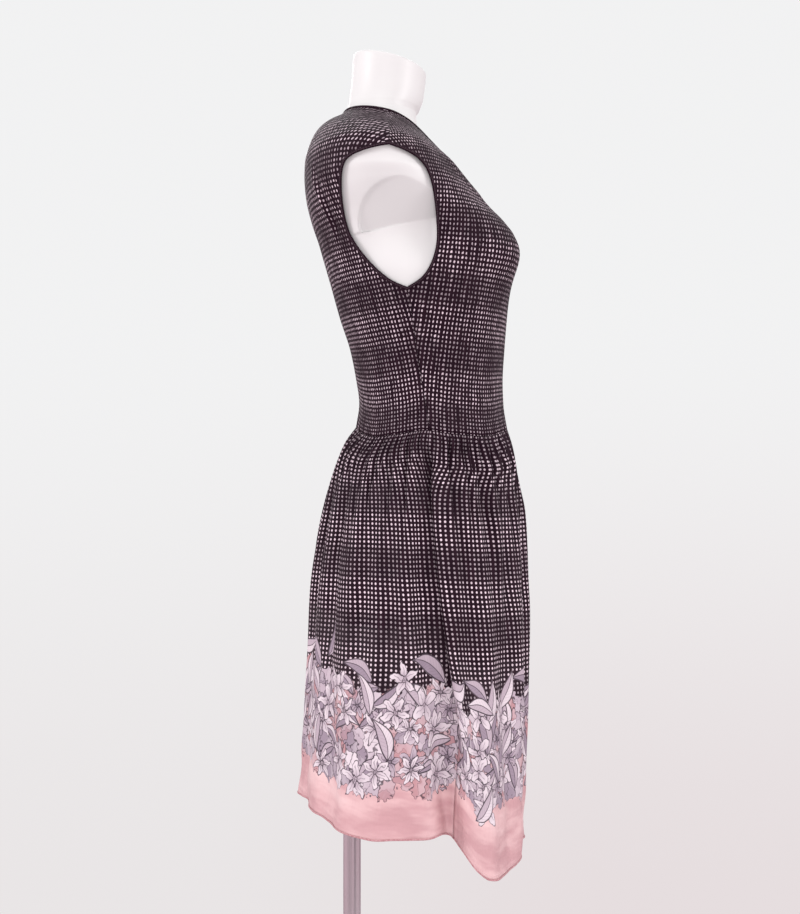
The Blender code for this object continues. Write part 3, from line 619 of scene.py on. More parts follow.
def bodice_panel(side, material):
    front = side == "front"
    piece, across, along = grid("bodice_cloth_" + side, BODICE_COLUMNS, BODICE_ROWS)
    turn, z = bodice_grid(side, across, along)
    points, normals = bodice_point(turn, z), outward(bodice_point, turn, z)
    half_row = 0.5 / BODICE_ROWS
    at_side = (across > LAST_COLUMN) & (along <= ARMPIT_SHARE + half_row)
    at_shoulder = along > 1 - half_row
    points[:, 1] += np.where(at_side | at_shoulder, -SEAM_HALF_GAP if front else SEAM_HALF_GAP, 0)
    above_waist = z - WAIST_Z
    pucker = np.cos(2 * np.pi * BODICE_PUCKERS * across + PUCKER_SHIFT * np.sin(PUCKER_SHIFTS * across))
    inset = CLOTH_INSET + crease_sink(turn, z) * (above_waist > BODICE_PUCKER_FADE)
    inset += BODICE_PUCKER_DEPTH * (0.5 + 0.5 * pucker) * np.exp(-above_waist / BODICE_PUCKER_FADE)
    beside_seam = (1 - across) * np.pi / 2 * BODICE_RADIUS
    inset += SEAM_SINK * bell(beside_seam, SEAM_SINK_WIDTH) * (along <= ARMPIT_SHARE)
    points = points - normals * inset[:, None]
    neck_share = FRONT_NECK_SHARE if front else BACK_NECK_SHARE
    points[(across < 1 - LAST_COLUMN) & (along <= neck_share + half_row), 0] = 0
    lay(piece, points)
    face_outward(piece, normals)
    apply(piece, "MIRROR", use_clip=True, merge_threshold=MERGE_DISTANCE)

    points = of_vertices(piece, "co")
    x, y, z = points.T
    turn, height = np.degrees(np.arctan2(-x, bodice_rows.at(z).widest - y)), z - WAIST_Z
    pattern_across, pattern_along = unwrap(piece)
    shown_along = pattern_along + (height - pattern_along) * (LEVEL_FRONT if front else LEVEL_BACK)
    shown_along -= WAIST_CROWD * np.exp(-height / WAIST_CROWD_FADE)
    write_uv(piece, "cloth", pattern_across * BODICE_SHIRR, shown_along)
    # Painted shade in the soft creases, kept in the fold map for the dots
    write_uv(piece, "fold", np.clip(crease_sink(turn, z) / CREASE_SHADE, 0, 1), 0 * height)
    points[:, 2] = z + waist_rise(turn, bell(height, RISE_FADE))
    lay(piece, points)
    finish_cloth(piece, "dotted_cloth", material)
    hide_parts("bodice_" + side)


def skirt_panel(side, first_seam, last_seam, materials):
    panel = 1 if side == "front" else 2
    piece, across, along = grid("skirt_cloth_" + side, SKIRT_COLUMNS, SKIRT_ROWS)
    drop = (1 - along) ** ROWS_NEARER_WAIST
    first, last = seam_turn(first_seam, drop), seam_turn(last_seam, drop)
    turn = first + (last - first) * across
    at_edge = (across < 1 - LAST_COLUMN) * 1.0 - (across > LAST_COLUMN) * 1.0
    turn += at_edge * SEAM_HALF_TURN
    points, normals = skirt_point(turn, drop), outward(skirt_point, turn, drop, upward=-HEIGHT_STEP)
    from_seam = np.radians(np.abs(np.minimum(turn - first, last - turn))) * SKIRT_RADIUS
    seam_valley = SEAM_VALLEY_DEPTH * bell(from_seam, SEAM_VALLEY_WIDTH)
    seam_valley *= smoothstep(*VALLEY_GROWS, drop) * (1 - smoothstep(*VALLEY_FADES, drop))
    loose = smoothstep(0, SEAM_HOLD, across) * smoothstep(0, SEAM_HOLD, 1 - across)
    gathers = gather_sink(across, drop, panel)
    sink = CLOTH_INSET + seam_valley + loose * (gathers + wavering(turn, drop, panel))
    points = clear_of_form(points - unit(normals * [1, 1, 0]) * sink[:, None])
    points[:, 2] += waist_rise(turn, 1 - smoothstep(0, RISE_ON_SKIRT, drop))
    lay(piece, points)
    rows, columns = SKIRT_ROWS + 1, SKIRT_COLUMNS + 1
    row = SKIRT_ROWS - np.round(along * SKIRT_ROWS).astype(int)
    column = np.round(across * SKIRT_COLUMNS).astype(int)
    net, smooth = np.empty((rows, columns, 3)), np.empty((rows, columns, 3))
    net[row, column] = points
    smooth[row, column] = skirt_point(turn, drop, FOLD_IN_PRINT)
    down = np.zeros((rows, columns))
    down[1:] = np.cumsum(np.linalg.norm(np.diff(smooth, axis=0), axis=2), axis=0)
    width = np.linalg.norm(np.diff(net[-1], axis=0), axis=1).sum()
    arc = np.zeros((rows, columns))
    arc[:, 1:] = np.cumsum(np.linalg.norm(np.diff(net, axis=1), axis=2), axis=1)
    cloth_across = (arc / arc[:, -1:] * width)[row, column]
    cloth_down, to_hem = down[row, column], (down[-1] - down)[row, column]
    near_front = 1 - smoothstep(*PINK_TURNS, np.abs(apart(turn, 0)))
    pink = PINK_BACK + (PINK_FRONT - PINK_BACK) * near_front
    write_uv(piece, "cloth", cloth_across, cloth_down)
    write_uv(piece, "border", cloth_across + panel, to_hem - pink)
    # Painted shade in the seam valleys and gathers, kept in the fold map for the dots
    fold = (seam_valley / SEAM_SHADE) ** 2 + loose * gathers / GATHER_SHADE
    write_uv(piece, "fold", np.clip(fold, 0, 1), 0 * drop)
    write_uv(piece, "hem", cloth_across, to_hem)
    face_outward(piece, normals)
    low = to_hem < BORDER_ZONE
    chosen = np.array([1 if low[face.vertices[0]] else 0 for face in piece.data.polygons])
    piece.data.polygons.foreach_set("material_index", chosen)
    finish_cloth(piece, "dotted_cloth", *materials)
    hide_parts("skirt_" + side)
    roll = hem_roll(side, net[-1], materials[-1])


def wavering(turn, drop, panel):
    """How deep the hanging cloth's slight waves are at a place."""
    angle = np.radians(turn)
    across, around, down = PATCHES
    sink = PATCH_DEPTH * np.sin(down * drop + across * angle) * np.sin(around * angle + 1)
    for ripple in RIPPLES:
        wave = ripple.around * angle + ripple.down * drop + ripple.shift * panel
        sink = sink + ripple.depth * np.sin(wave)
    down, sway, around = HEM_RIPPLES
    hem_wave = np.sin(down * drop + sway * np.sin(around * angle + panel))
    near_hem = HEM_RIPPLE_DEPTH * smoothstep(*HEM_RIPPLES_GROW, drop)
    return smoothstep(*RIPPLES_GROW, drop) * sink + near_hem * hem_wave


def tube(name, points, sideways, lift, profile, slot, material, closed):
    """A narrow piece along a line of points: profile is its ring of (side, lift) places."""
    steps = len(points) if closed else len(points) - 1
    piece, across, along = grid(name, steps, len(profile))
    step = np.round(across * steps).astype(int) % len(points)
    side = np.round(along * len(profile)).astype(int)
    shape = np.array(profile)[side % len(profile)]
    lay(piece, points[step] + sideways[step] * shape[:, :1] + lift[step] * shape[:, 1:])
    length = np.linalg.norm(np.diff(points, axis=0), axis=1).sum()
    write_uv(piece, "strip", across * length, along * STRIP_ROUND)
    edit(piece, ("remove_doubles", {"threshold": MERGE_DISTANCE}))
    if not closed:
        select_only(piece)
        bpy.ops.object.mode_set(mode="EDIT")
        bpy.ops.mesh.select_all(action="DESELECT")
        bpy.ops.mesh.select_non_manifold()
        bpy.ops.mesh.edge_face_add()
        bpy.ops.object.mode_set(mode="OBJECT")
    edit(piece, ("normals_make_consistent", {"inside": False}))
    return finish_piece(piece, slot, material)


def edge_lines(turn, z, centre):
    """Points, directions away from a centre and directions out of the cloth, along a closed edge."""
    points, normals = bodice_point(turn, z), outward(bodice_point, turn, z)
    points[:, 2] += waist_rise(turn, bell(z - WAIST_Z, RISE_FADE))
    tangent = unit(np.roll(points, -1, axis=0) - np.roll(points, 1, axis=0))
    sideways = np.cross(normals, tangent)
    sideways *= np.sign(((points - centre) * sideways).sum())
    return points, sideways, normals


def rounded_profile(low, high, bottom, top, corner, sides):
    """A flattened ring of (side, lift) places."""
    ring = []
    for n in range(sides):
        c, s = math.cos(2 * math.pi * n / sides), math.sin(2 * math.pi * n / sides)
        across = (low + high) / 2 + (high - low) / 2 * math.copysign(abs(c) ** corner, c)
        ring.append((across, (bottom + top) / 2 + (top - bottom) / 2 * math.copysign(abs(s) ** corner, s)))
    return ring


def bindings(material):
    share = np.arange(BINDING_STEPS) / BINDING_STEPS
    profile = rounded_profile(*BINDING_ACROSS, *BINDING_LIFT, corner=0.45, sides=16)
    up, down = armhole(ARMHOLE_FRONT, share), armhole(ARMHOLE_BACK, 1 - share)
    turn, z = np.concatenate([up[0], down[0]]), np.concatenate([up[1], down[1]])
    for side, flip in (("right", 1), ("left", -1)):
        lines = [line * [flip, 1, 1] for line in edge_lines(turn, z, ARMHOLE_CENTRE)]
        strip = tube("bias_strip_" + side, *lines, profile, "binding_cloth", material, closed=True)
        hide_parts("armhole_binding_" + side)
    up, over = front_neck(share), back_neck(1 - share)
    turn, z = np.concatenate([up[0], over[0], [180.0]]), np.concatenate([up[1], over[1], [NAPE_Z]])
    turn, z = np.concatenate([turn, 360 - turn[-2:0:-1]]), np.concatenate([z, z[-2:0:-1]])
    lines = edge_lines(turn, z, NECK_CENTRE)
    strip = tube("bias_strip_neck", *lines, profile, "binding_cloth", material, closed=True)
    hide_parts("neck_binding")


def hem_roll(side, points, material):
    """The narrow rolled edge of a skirt panel."""
    up = np.tile([0.0, 0.0, 1.0], (len(points), 1))
    out = unit(np.cross(up, np.gradient(points, axis=0)))
    profile = rounded_profile(-HEM_ROLL_THICK, HEM_ROLL_THICK, *HEM_ROLL_HEIGHT, corner=1.0, sides=10)
    return tube("hem_roll_" + side, points, out, up, profile, "dotted_cloth", material, closed=False)


def form_point(turn, z):
    """The form's outside: its hips, the inside of the bodice with flat cut arms, and its neck."""
    hips, neck = hips_rows.at(z), neck_rows.at(z)
    low = place_on(hips, turn, section_radius(hips, turn))
    high = place_on(neck, turn, section_radius(neck, turn))
    inset = outward(bodice_point, turn, np.minimum(z, BODICE[-1].z - JUST_UNDER))
    middle = bodice_point(turn, z) - inset * (SOLID_CLOTH + FORM_CLEARANCE)
    x, y, height = np.moveaxis(middle, -1, 0)
    from_middle = (middle[..., 1:] - ARM_FACE_MIDDLE) / ARM_FACE_HALF_SIZE
    inside = smoothstep(0, ARM_FACE_EDGE, 1 - (from_middle**2).sum(axis=-1))
    face = ARM_FACE_X + ARM_FACE_LEAN * (height - ARM_FACE_Z) - ARM_FACE_BOW * (y - ARM_FACE_MIDDLE[0]) ** 2
    low_line = ARM_FACE_LOW_Z - ARM_FACE_LOW_SLOPE * y
    cut = inside * np.maximum(0, np.abs(x) - face)
    beside = smoothstep(*SIDE_DIP_FRONT, y) * (1 - smoothstep(*SIDE_DIP_BACK, y))
    dip = SIDE_DIP * beside * smoothstep(SIDE_DIP_LOW_Z, ARM_FACE_LOW_Z, height)
    middle[..., 0] = np.sign(x) * (np.abs(x) - np.where(height > low_line, cut, dip))
    z = z[..., None]
    return np.where(z < WAIST_Z, low, np.where(z > BODICE[-1].z, high, middle))


def dress_form(material):
    """The limbless form, turned up from a grid: a closed underside, the body and a sloping neck top."""
    stretches = [np.linspace(low, high, rows, endpoint=False) for low, high, rows in FORM_HEIGHTS]
    heights = np.concatenate([*stretches, [BODICE[-1].z]])
    under, over = len(FORM_UNDERSIDE), NECK_ROWS + CAP_ROWS
    rows = under + len(heights) - 1 + over
    piece, across, along = grid("moulded_form", FORM_COLUMNS, rows)
    row, turn = np.round(along * rows).astype(int), across * 360
    points = form_point(turn, heights[np.clip(row - under, 0, len(heights) - 1)])
    pull, lift = np.array(FORM_UNDERSIDE).T
    below = np.clip(row, 0, under - 1)
    base = form_point(turn, np.full(len(turn), FORM_HEIGHTS[0][0]))
    shrunk = FORM_FOOT_MIDDLE + (base - FORM_FOOT_MIDDLE) * pull[below][:, None]
    shrunk[:, 2] = lift[below]
    points = np.where((row < under)[:, None], shrunk, points)
    above = row - (under + len(heights) - 1)
    top = NECK_TOP_Z - NECK_TOP_SLOPE * np.cos(np.radians(turn))
    neck_z = BODICE[-1].z + (top - BODICE[-1].z) * np.clip(above / NECK_ROWS, 0, 1)
    neck = form_point(turn, np.maximum(neck_z, BODICE[-1].z + JUST_OVER))
    cap = np.clip((above - NECK_ROWS) / CAP_ROWS, 0, 1)
    rounding, closing = np.minimum(1, cap * 2) * np.pi / 2, np.clip(cap * 2 - 1, 0, 1)
    closer = 1 - CAP_ROUND * (1 - np.cos(rounding)) - (1 - CAP_ROUND) * closing
    capped = NECK_MIDDLE + (neck - NECK_MIDDLE) * closer[:, None]
    rim = neck[:, 2] + CAP_HEIGHT * np.sin(rounding)
    capped[:, 2] = rim + (NECK_TOP_Z + CAP_HEIGHT - rim) * closing
    lay(piece, np.where((above > 0)[:, None], capped, points))
    edit(piece, ("remove_doubles", {"threshold": MERGE_DISTANCE}))
    edit(piece, ("normals_make_consistent", {"inside": False}))
    finish_piece(piece, "form_white", material)
    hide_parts("dress_form")


# Colours of the print, the stand and the floor, with the pink band's painted shadow and painted light, and
# the ground's lighter tone that is also painted light on its crinkles
GROUND, GROUND_LIGHT = (0.0108, 0.0028, 0.0075, 1), (0.0190, 0.0064, 0.0130, 1)
BLACK = (0.0, 0.0, 0.0, 1)
DOT_COLOUR = (0.73, 0.585, 0.655, 1)
INK = (0.030, 0.018, 0.028, 1)
ROSE, LILAC = (0.46, 0.245, 0.265, 1), (0.300, 0.232, 0.290, 1)
PALE_LILAC, WHITE_PRINT = (0.47, 0.375, 0.435, 1), (0.68, 0.585, 0.635, 1)
PINK, DEEP_PINK_AND_SHADOW, PINK_LIGHT = (0.675, 0.43, 0.442, 1), (0.54, 0.305, 0.325, 1), (0.77, 0.55, 0.555, 1)
PINK_EDGE, DARK_STITCH = (0.42, 0.19, 0.21, 1), (0.05, 0.03, 0.04, 1)
FORM_COLOURS = (0.705, 0.700, 0.698, 1), (0.680, 0.672, 0.670, 1)
STEEL_COLOURS = (0.56, 0.475, 0.51, 1), (0.69, 0.60, 0.64, 1)
FLOOR_COLOURS = (0.43, 0.42, 0.425, 1), (0.47, 0.46, 0.465, 1)
# The backdrop, the room's low and high walls, and the dark cards that the steel mirrors
BACKDROP_LOW, BACKDROP_HIGH = ((0.815, 0.785, 0.79, 1), (0.79, 0.725, 0.735, 1)), (0.885, 0.885, 0.89, 1)
ROOM_COLOURS = (0.74, 0.57, 0.62, 1), (0.93, 0.93, 0.93, 1)
CARD_COLOUR, CARD_SHARE = (0.16, 0.12, 0.14, 1), 0.75
BACKDROP_SIDES, BACKDROP_RISE, ROOM_RISE = (0.18, -0.18), (-0.36, 0.12), (-0.5, 0.6)
CARD_MIDDLE, CARD_INNER, CARD_OUTER = 0.08, (0.30, 0.45), (0.80, 0.70)
CARD_TOP, CARD_FOOT = (0.0, -0.10), (-0.62, -0.45)
FLOOR_RADIUS, FLOOR_THICK, FLOOR_MIDDLE = 1.24, 0.02, (0, 0, -0.011)

# How bright the dots are: the least, how much they vary, how much each way of the check dims them, and how
# much painted shade darkens them in the deepest folds
DOT_LIGHT, DOT_VARIES, CHECK_DIMS, FOLD_PAINTED_SHADE = 0.94, 0.12, (0.16, 0.44), 0.86
DOT_GROWS, DOT_EDGE, CHECK_EDGE = 0.0002, (0.00028, -0.00028), (-0.25, 0.45)
THREADS, THREAD_HEIGHT = 5200.0, 0.06
STITCH_PITCH, STITCH_WIDTH, STITCH_LENGTH = 0.0024, (0.00040, 0.00015), (0.40, 0.34)
HEM_STITCH_HEIGHT, STRIP_STITCH_PLACE = 0.0045, 0.0020
CLOTH_RELIEF, BINDING_RELIEF = 0.0006, 0.0004
FINE_PUSH, PUCKER_EDGE, PUCKER_SHADE, PUCKER_SHADE_MOST = 0.4, (0.25, 0.55), 100, 0.45
PUCKER_RIB, FINE_RIB, RIB_RELIEF = 2.0, 0.8, 250
# The pink band's soft slanted folds: how they lie, where painted shade and painted light fall on them, and
# their relief
FOLD_SLANT, FOLD_LEVEL = (9.0, 15.0), (34.0, 6.0)
PINK_SHADOW_EDGE, PINK_LIGHT_EDGE, PINK_LIGHT_SHARE = (0.36, 0.60), (0.55, 0.75), 0.6
STREAK_EDGE, STREAK_SHARE, STITCH_SHARE = (0.52, 0.70), 0.12, 0.6
IN_PINK_EDGE, SHADOW_RELIEF, STREAK_RELIEF, RELIEF_ABOVE = (0.012, -0.002), 4.5, 0.12, 0.25
PRINT_ROUGHNESS, PINK_SMOOTHER, PRINT_SHINE = 0.62, 0.16, 0.18

# Drawn lines: how far from its middle each has faded out, and where it is still full
RIM_LINE, PARTING_LINE, MIDRIB_LINE = (0.0012, 0.00055), (0.00085, 0.0004), (0.0006, 0.00025)
VEIN_LINE, EYE_LINE = (0.00045, 0.0002), (0.0006, 0.0003)
SMALL_RIM, SMALL_VEIN = (0.00095, 0.0004), (0.00045, 0.00015)
SHAPE_EDGE, INK_EDGE, LEAF_HALF_EDGE = (-0.0002, 0.0002), (-0.0006, -0.0004), (-0.0004, 0.0004)
SEED_SLANT = 0.567
# A flower: how much of its reach is round, the eye, and where the lines between petals begin
FLOWER_SIZES, PETAL_SHARES, FLOWER_SPREAD = (0.2, 0.8), (0.64, 0.36), 0.55
EYE_SHARE, PARTING_START, VEIN_END, VEIN_INK = 0.13, 0.12, (0.72, 0.66), 0.6
# A leaf: its width and bend as shares of its reach, how blunt its tip is, and its small veins
LEAF_SIZES, LEAF_SPREAD, LEAF_WIDTH, LEAF_BLUNT = (0.25, 0.75), 0.5, 0.34, 0.35
LEAF_BEND, LEAF_BEND_START, HALF_SHADE, LENGTH_SHADE = 0.28, 0.08, 0.7, 0.2
SMALL_VEINS, SMALL_VEIN_SLANT, SMALL_VEIN_EDGE, SMALL_VEIN_INK = 1500.0, 0.9, (0.965, 0.995), 0.45
SMALL_PETAL = 0.0150
FLOWER_WARP, PETAL_WARP = (0.006, 0.006, 0.0), (0.010, 0.014, 0.0)
SMALL_PETALS_LOW, SMALL_PETALS_HIGH = (0.000, 0.006), (0.096, 0.020)
# Rose at the lowest random tones, and these from there on
SMALL_PETAL_COLOURS = [(0.30, 0.32, LILAC), (0.58, 0.60, PALE_LILAC), (0.86, 0.88, WHITE_PRINT)]
SMALL_PETAL_SIDE, SMALL_PETAL_SHADE, SMALL_VEIN_SHARE, SMALL_INK_SHARE = (-0.004, 0.006), 0.35, 0.75, 0.8
BODY_EDGE, WASH_EDGE, WASH_SHARE, BELOW_EDGE = (0.05, 0.75), (0.35, 0.75), 0.14, (0.016, 0.014)
INK_SHARE = 0.94

# What is drawn over the border's small petals, from the first to the last: the motif, its shadow
# and light colours, and a seed that places it
Leaves = namedtuple("Leaves", "Spacing Reach Lean Spread Low High Share")
Flowers = namedtuple("Flowers", "Spacing Reach Petals Point Low High Share")
BORDER_LAYERS = [
    (Leaves(0.040, 0.0200, 1.2, 5.5, 0.006, 0.112, 0.80), LILAC, PALE_LILAC, 1.73),
    (Flowers(0.040, 0.0170, 5.0, 1.3, 0.010, 0.104, 0.80), LILAC, PALE_LILAC, 0.31),
    (Leaves(0.046, 0.0230, 0.2, 5.5, 0.010, 0.110, 0.70), LILAC, WHITE_PRINT, 3.11),
    (Flowers(0.046, 0.0190, 6.0, 1.6, 0.004, 0.110, 0.70), PALE_LILAC, WHITE_PRINT, 2.91),
    (Leaves(0.052, 0.0290, 1.3, 2.2, 0.084, 0.142, 0.60), LILAC, PALE_LILAC, 4.37),
    (Leaves(0.056, 0.0270, 1.7, 2.4, 0.070, 0.132, 0.60), PALE_LILAC, WHITE_PRINT, 9.71),
    (Flowers(0.056, 0.0225, 5.0, 1.5, 0.000, 0.118, 0.66), PALE_LILAC, WHITE_PRINT, 5.83),
    (Flowers(0.064, 0.0200, 4.0, 2.2, 0.002, 0.112, 0.55), PALE_LILAC, WHITE_PRINT, 7.19),
    (Leaves(0.058, 0.0240, 0.3, 4.5, -0.004, 0.108, 0.50), PALE_LILAC, WHITE_PRINT, 8.53),
]
# The kinds of socket, by name; all others are plain numbers
SOCKET_KINDS = {"Place": "Vector", "Colour": "Color"}


def maths(operation, swapped=False):
    """A way of joining two values by a maths node."""

    def joined(self, other):
        return self.tree.math(operation, *((other, self) if swapped else (self, other)))

    return joined


class Value:
    """A node's output. A sum, product or comparison of it is a maths node of its own."""

    def __init__(self, tree, socket):
        self.tree, self.socket = tree, socket

    def __abs__(self):
        return self.tree.math("ABSOLUTE", self)

    __add__ = maths("ADD")
    __sub__ = maths("SUBTRACT")
    __rsub__ = maths("SUBTRACT", swapped=True)
    __mul__ = maths("MULTIPLY")
    __truediv__ = maths("DIVIDE")
    __rtruediv__ = maths("DIVIDE", swapped=True)
    __gt__ = maths("GREATER_THAN")
    __lt__ = maths("LESS_THAN")


class Tree:
    """Short calls that add nodes to a tree. What they take is a number, a colour or a Value."""

    def __init__(self, tree):
        self.tree = tree

    def feed(self, socket, value):
        if isinstance(value, Value):
            self.tree.links.new(value.socket, socket)
        else:
            socket.default_value = value

    def outputs(self, made):
        """A node's outputs as Values, by name and by number."""
        found = {socket.name: Value(self, socket) for socket in made.outputs}
        found.update(enumerate(Value(self, socket) for socket in made.outputs))
        return found

    def node(self, kind, inputs=(), **settings):
        made = self.tree.nodes.new("ShaderNode" + kind)
        for key, value in settings.items():
            setattr(made, key, value)
        for key, value in dict(inputs).items():
            self.feed(made.inputs[key], value)
        return self.outputs(made)

    def math(self, operation, *values):
        return self.node("Math", enumerate(values), operation=operation)[0]

    def vector(self, operation, *values):
        made = self.node("VectorMath", enumerate(values), operation=operation)
        return made["Value" if operation == "LENGTH" else "Vector"]

    def split(self, vector):
        made = self.node("SeparateXYZ", {0: vector})
        return made[0], made[1], made[2]

    def join(self, x=0.0, y=0.0, z=0.0):
        return self.node("CombineXYZ", {0: x, 1: y, 2: z})[0]

    def uv(self, name):
        return self.node("UVMap", uv_map=name)["UV"]

    def object_place(self):
        return self.node("TexCoord")["Object"]

    def soft(self, value, low, high):
        """0 below low, 1 above high and smooth between; the other way round if low is more."""
        start, end = (0.0, 1.0) if low < high else (1.0, 0.0)
        inputs = {0: value, 1: min(low, high), 2: max(low, high), 3: start, 4: end}
        return self.node("MapRange", inputs, interpolation_type="SMOOTHSTEP")[0]

    def mix(self, share, one, two, **settings):
        return self.node("Mix", {0: share, 6: one, 7: two}, data_type="RGBA", **settings)[2]

    def noise(self, place, scale, detail=2.0, roughness=0.5, dimensions="2D", output="Fac"):
        inputs = {"Vector": place, "Scale": scale, "Detail": detail, "Roughness": roughness}
        return self.node("TexNoise", inputs, noise_dimensions=dimensions)[output]

    def crinkles(self, x, y, across, along, detail=2.0, roughness=0.5):
        """Noise drawn out along the cloth, with so many turns to a metre across it and along it."""
        return self.noise(self.join(x * across, y * along), 1.0, detail, roughness)

    def pushed(self, place, scale, reach):
        """A place moved a little to all sides by noise."""
        off = self.vector("SUBTRACT", self.noise(place, scale, 1.0, output="Color"), (0.5, 0.5, 0.5))
        return self.vector("MULTIPLY", off, reach)

    def cells(self, place, scale, randomness, **settings):
        inputs = {"Vector": place, "Scale": scale, "Randomness": randomness}
        return self.node("TexVoronoi", inputs, voronoi_dimensions="2D", **settings)

    def use(self, group, **inputs):
        made = self.tree.nodes.new("ShaderNodeGroup")
        made.node_tree = group
        for key, value in inputs.items():
            self.feed(made.inputs[key], value)
        return self.outputs(made)


def group(name, inputs, outputs, build):
    """A node group with named inputs and outputs, which build fills."""
    tree = bpy.data.node_groups.new(name, "ShaderNodeTree")
    for names, way in ((inputs, "INPUT"), (outputs, "OUTPUT")):
        for key in names.split():
            kind = "NodeSocket" + SOCKET_KINDS.get(key, "Float")
            tree.interface.new_socket(key, in_out=way, socket_type=kind)
    made = Tree(tree)
    start, end = tree.nodes.new("NodeGroupInput"), tree.nodes.new("NodeGroupOutput")
    for key, value in build(made, made.outputs(start)).items():
        made.feed(end.inputs[key], value)
    return tree


def build_dots(t, given):
    """Rows of round dots whose brightness varies a little, dimmed by a faint broad check."""
    x, y, _ = t.split(given["Place"])
    column, row = x / DOT_ACROSS, y / DOT_DOWN
    off_x = (t.math("FRACT", column) - 0.5) * DOT_ACROSS * given["Squeeze"]
    off_y = (t.math("FRACT", row) - 0.5) * DOT_DOWN
    away = t.vector("LENGTH", t.join(off_x, off_y))
    whole = t.join(t.math("FLOOR", column), t.math("FLOOR", row))
    one = t.node("TexWhiteNoise", {"Vector": whole}, noise_dimensions="2D")["Value"]
    dot = t.soft(away - (given["Radius"] + one * DOT_GROWS), *DOT_EDGE)
    light = one * DOT_VARIES + DOT_LIGHT
    for value, dims in zip((x, y - CHECK_START), CHECK_DIMS):
        band = t.soft(t.math("SINE", value * (2 * math.pi / CHECK_PITCH)), *CHECK_EDGE)
        light = light - band * dims
    return {"Dots": dot, "Light": light}


def build_weave(t, given):
    """Fine crinkles along the cloth and its threads, as a height."""
    x, y, _ = t.split(given["Place"])
    crinkle = t.crinkles(x, y, 210.0, 34.0)
    threads = t.math("SINE", x * THREADS) * t.math("SINE", y * THREADS)
    return {"Crinkle": crinkle, "Height": crinkle + threads * THREAD_HEIGHT}


def build_stitches(t, given):
    """A row of short stitches at one distance across a strip."""
    along, across, _ = t.split(given["Place"])
    near = t.soft(abs(across - given["Away"]), *STITCH_WIDTH)
    thread = t.math("FRACT", along / STITCH_PITCH)
    return {"Mask": near * t.soft(abs(thread - 0.5), *STITCH_LENGTH)}


def scattered(t, given, randomness, warp_scale=None):
    """One motif in each cell: the way from its middle, three random shares and a mask of those drawn."""
    shift = t.join(given["Seed"], given["Seed"] * SEED_SLANT)
    place = t.vector("ADD", given["Place"], shift)
    if warp_scale:
        place = t.vector("ADD", place, t.pushed(place, warp_scale, FLOWER_WARP))
    cells = t.cells(place, 1.0 / given["Spacing"], randomness)
    tone, turn, size = t.split(cells["Color"])
    height = t.split(cells["Position"])[1] - given["Seed"] * SEED_SLANT
    there = (height > given["Low"]) * (height < given["High"]) * (tone < given["Share"])
    return t.vector("SUBTRACT", place, cells["Position"]), turn, size, there


def build_flower(t, given):
    """Scattered drawn flowers: their shape, their ink lines and a shade from tip to centre."""
    away, turn, size, there = scattered(t, given, FLOWER_SPREAD, warp_scale=120.0)
    x, y, _ = t.split(away)
    far = t.vector("LENGTH", away)
    half = given["Petals"] / 2.0
    angle = (t.math("ARCTAN2", y, x) + turn * math.tau) * half
    lobe, ridge = abs(t.math("COSINE", angle)), abs(t.math("SINE", angle))
    reach = given["Reach"] * (size * FLOWER_SIZES[0] + FLOWER_SIZES[1])
    petal = 1.0 - t.math("POWER", ridge, given["Point"])
    inside = reach * (petal * PETAL_SHARES[0] + PETAL_SHARES[1]) - far
    parting = t.soft(lobe * far / half, *PARTING_LINE) * (far > reach * PARTING_START)
    vein = t.soft(ridge * far / half, *VEIN_LINE) * t.soft(far / reach, *VEIN_END)
    eye = t.soft(abs(far - reach * EYE_SHARE), *EYE_LINE)
    edges = t.math("MAXIMUM", t.soft(abs(inside), *RIM_LINE), parting)
    lines = t.math("MAXIMUM", edges, t.math("MAXIMUM", vein * VEIN_INK, eye))
    ink = lines * t.soft(inside, *INK_EDGE) * there
    return {"Shape": t.soft(inside, *SHAPE_EDGE) * there, "Ink": ink, "Shade": far / reach}


def build_leaf(t, given):
    """Scattered drawn leaves and long petals, each with two halves and a middle vein."""
    away, turn, size, there = scattered(t, given, LEAF_SPREAD)
    x, y, _ = t.split(away)
    angle = given["Lean"] + (turn - 0.5) * given["Spread"]
    c, s = t.math("COSINE", angle), t.math("SINE", angle)
    reach = given["Reach"] * (size * LEAF_SIZES[0] + LEAF_SIZES[1])
    along = x * c + y * s
    share = along / reach
    bend = share * share * (reach * LEAF_BEND) - reach * LEAF_BEND_START
    side = y * c - x * s + bend
    outline = (1.0 - share * share) * (1.0 - share * LEAF_BLUNT)
    inside = reach * LEAF_WIDTH * outline - abs(side)
    small = t.math("SINE", (along - abs(side) * SMALL_VEIN_SLANT) * SMALL_VEINS)
    edges = t.math("MAXIMUM", t.soft(abs(inside), *RIM_LINE), t.soft(abs(side), *MIDRIB_LINE))
    lines = t.math("MAXIMUM", edges, t.soft(small, *SMALL_VEIN_EDGE) * SMALL_VEIN_INK)
    ink = lines * t.soft(inside, *INK_EDGE) * there
    shade = t.soft(side, *LEAF_HALF_EDGE) * HALF_SHADE + share * LENGTH_SHADE
    return {"Shape": t.soft(inside, *SHAPE_EDGE) * there, "Ink": ink, "Shade": shade}


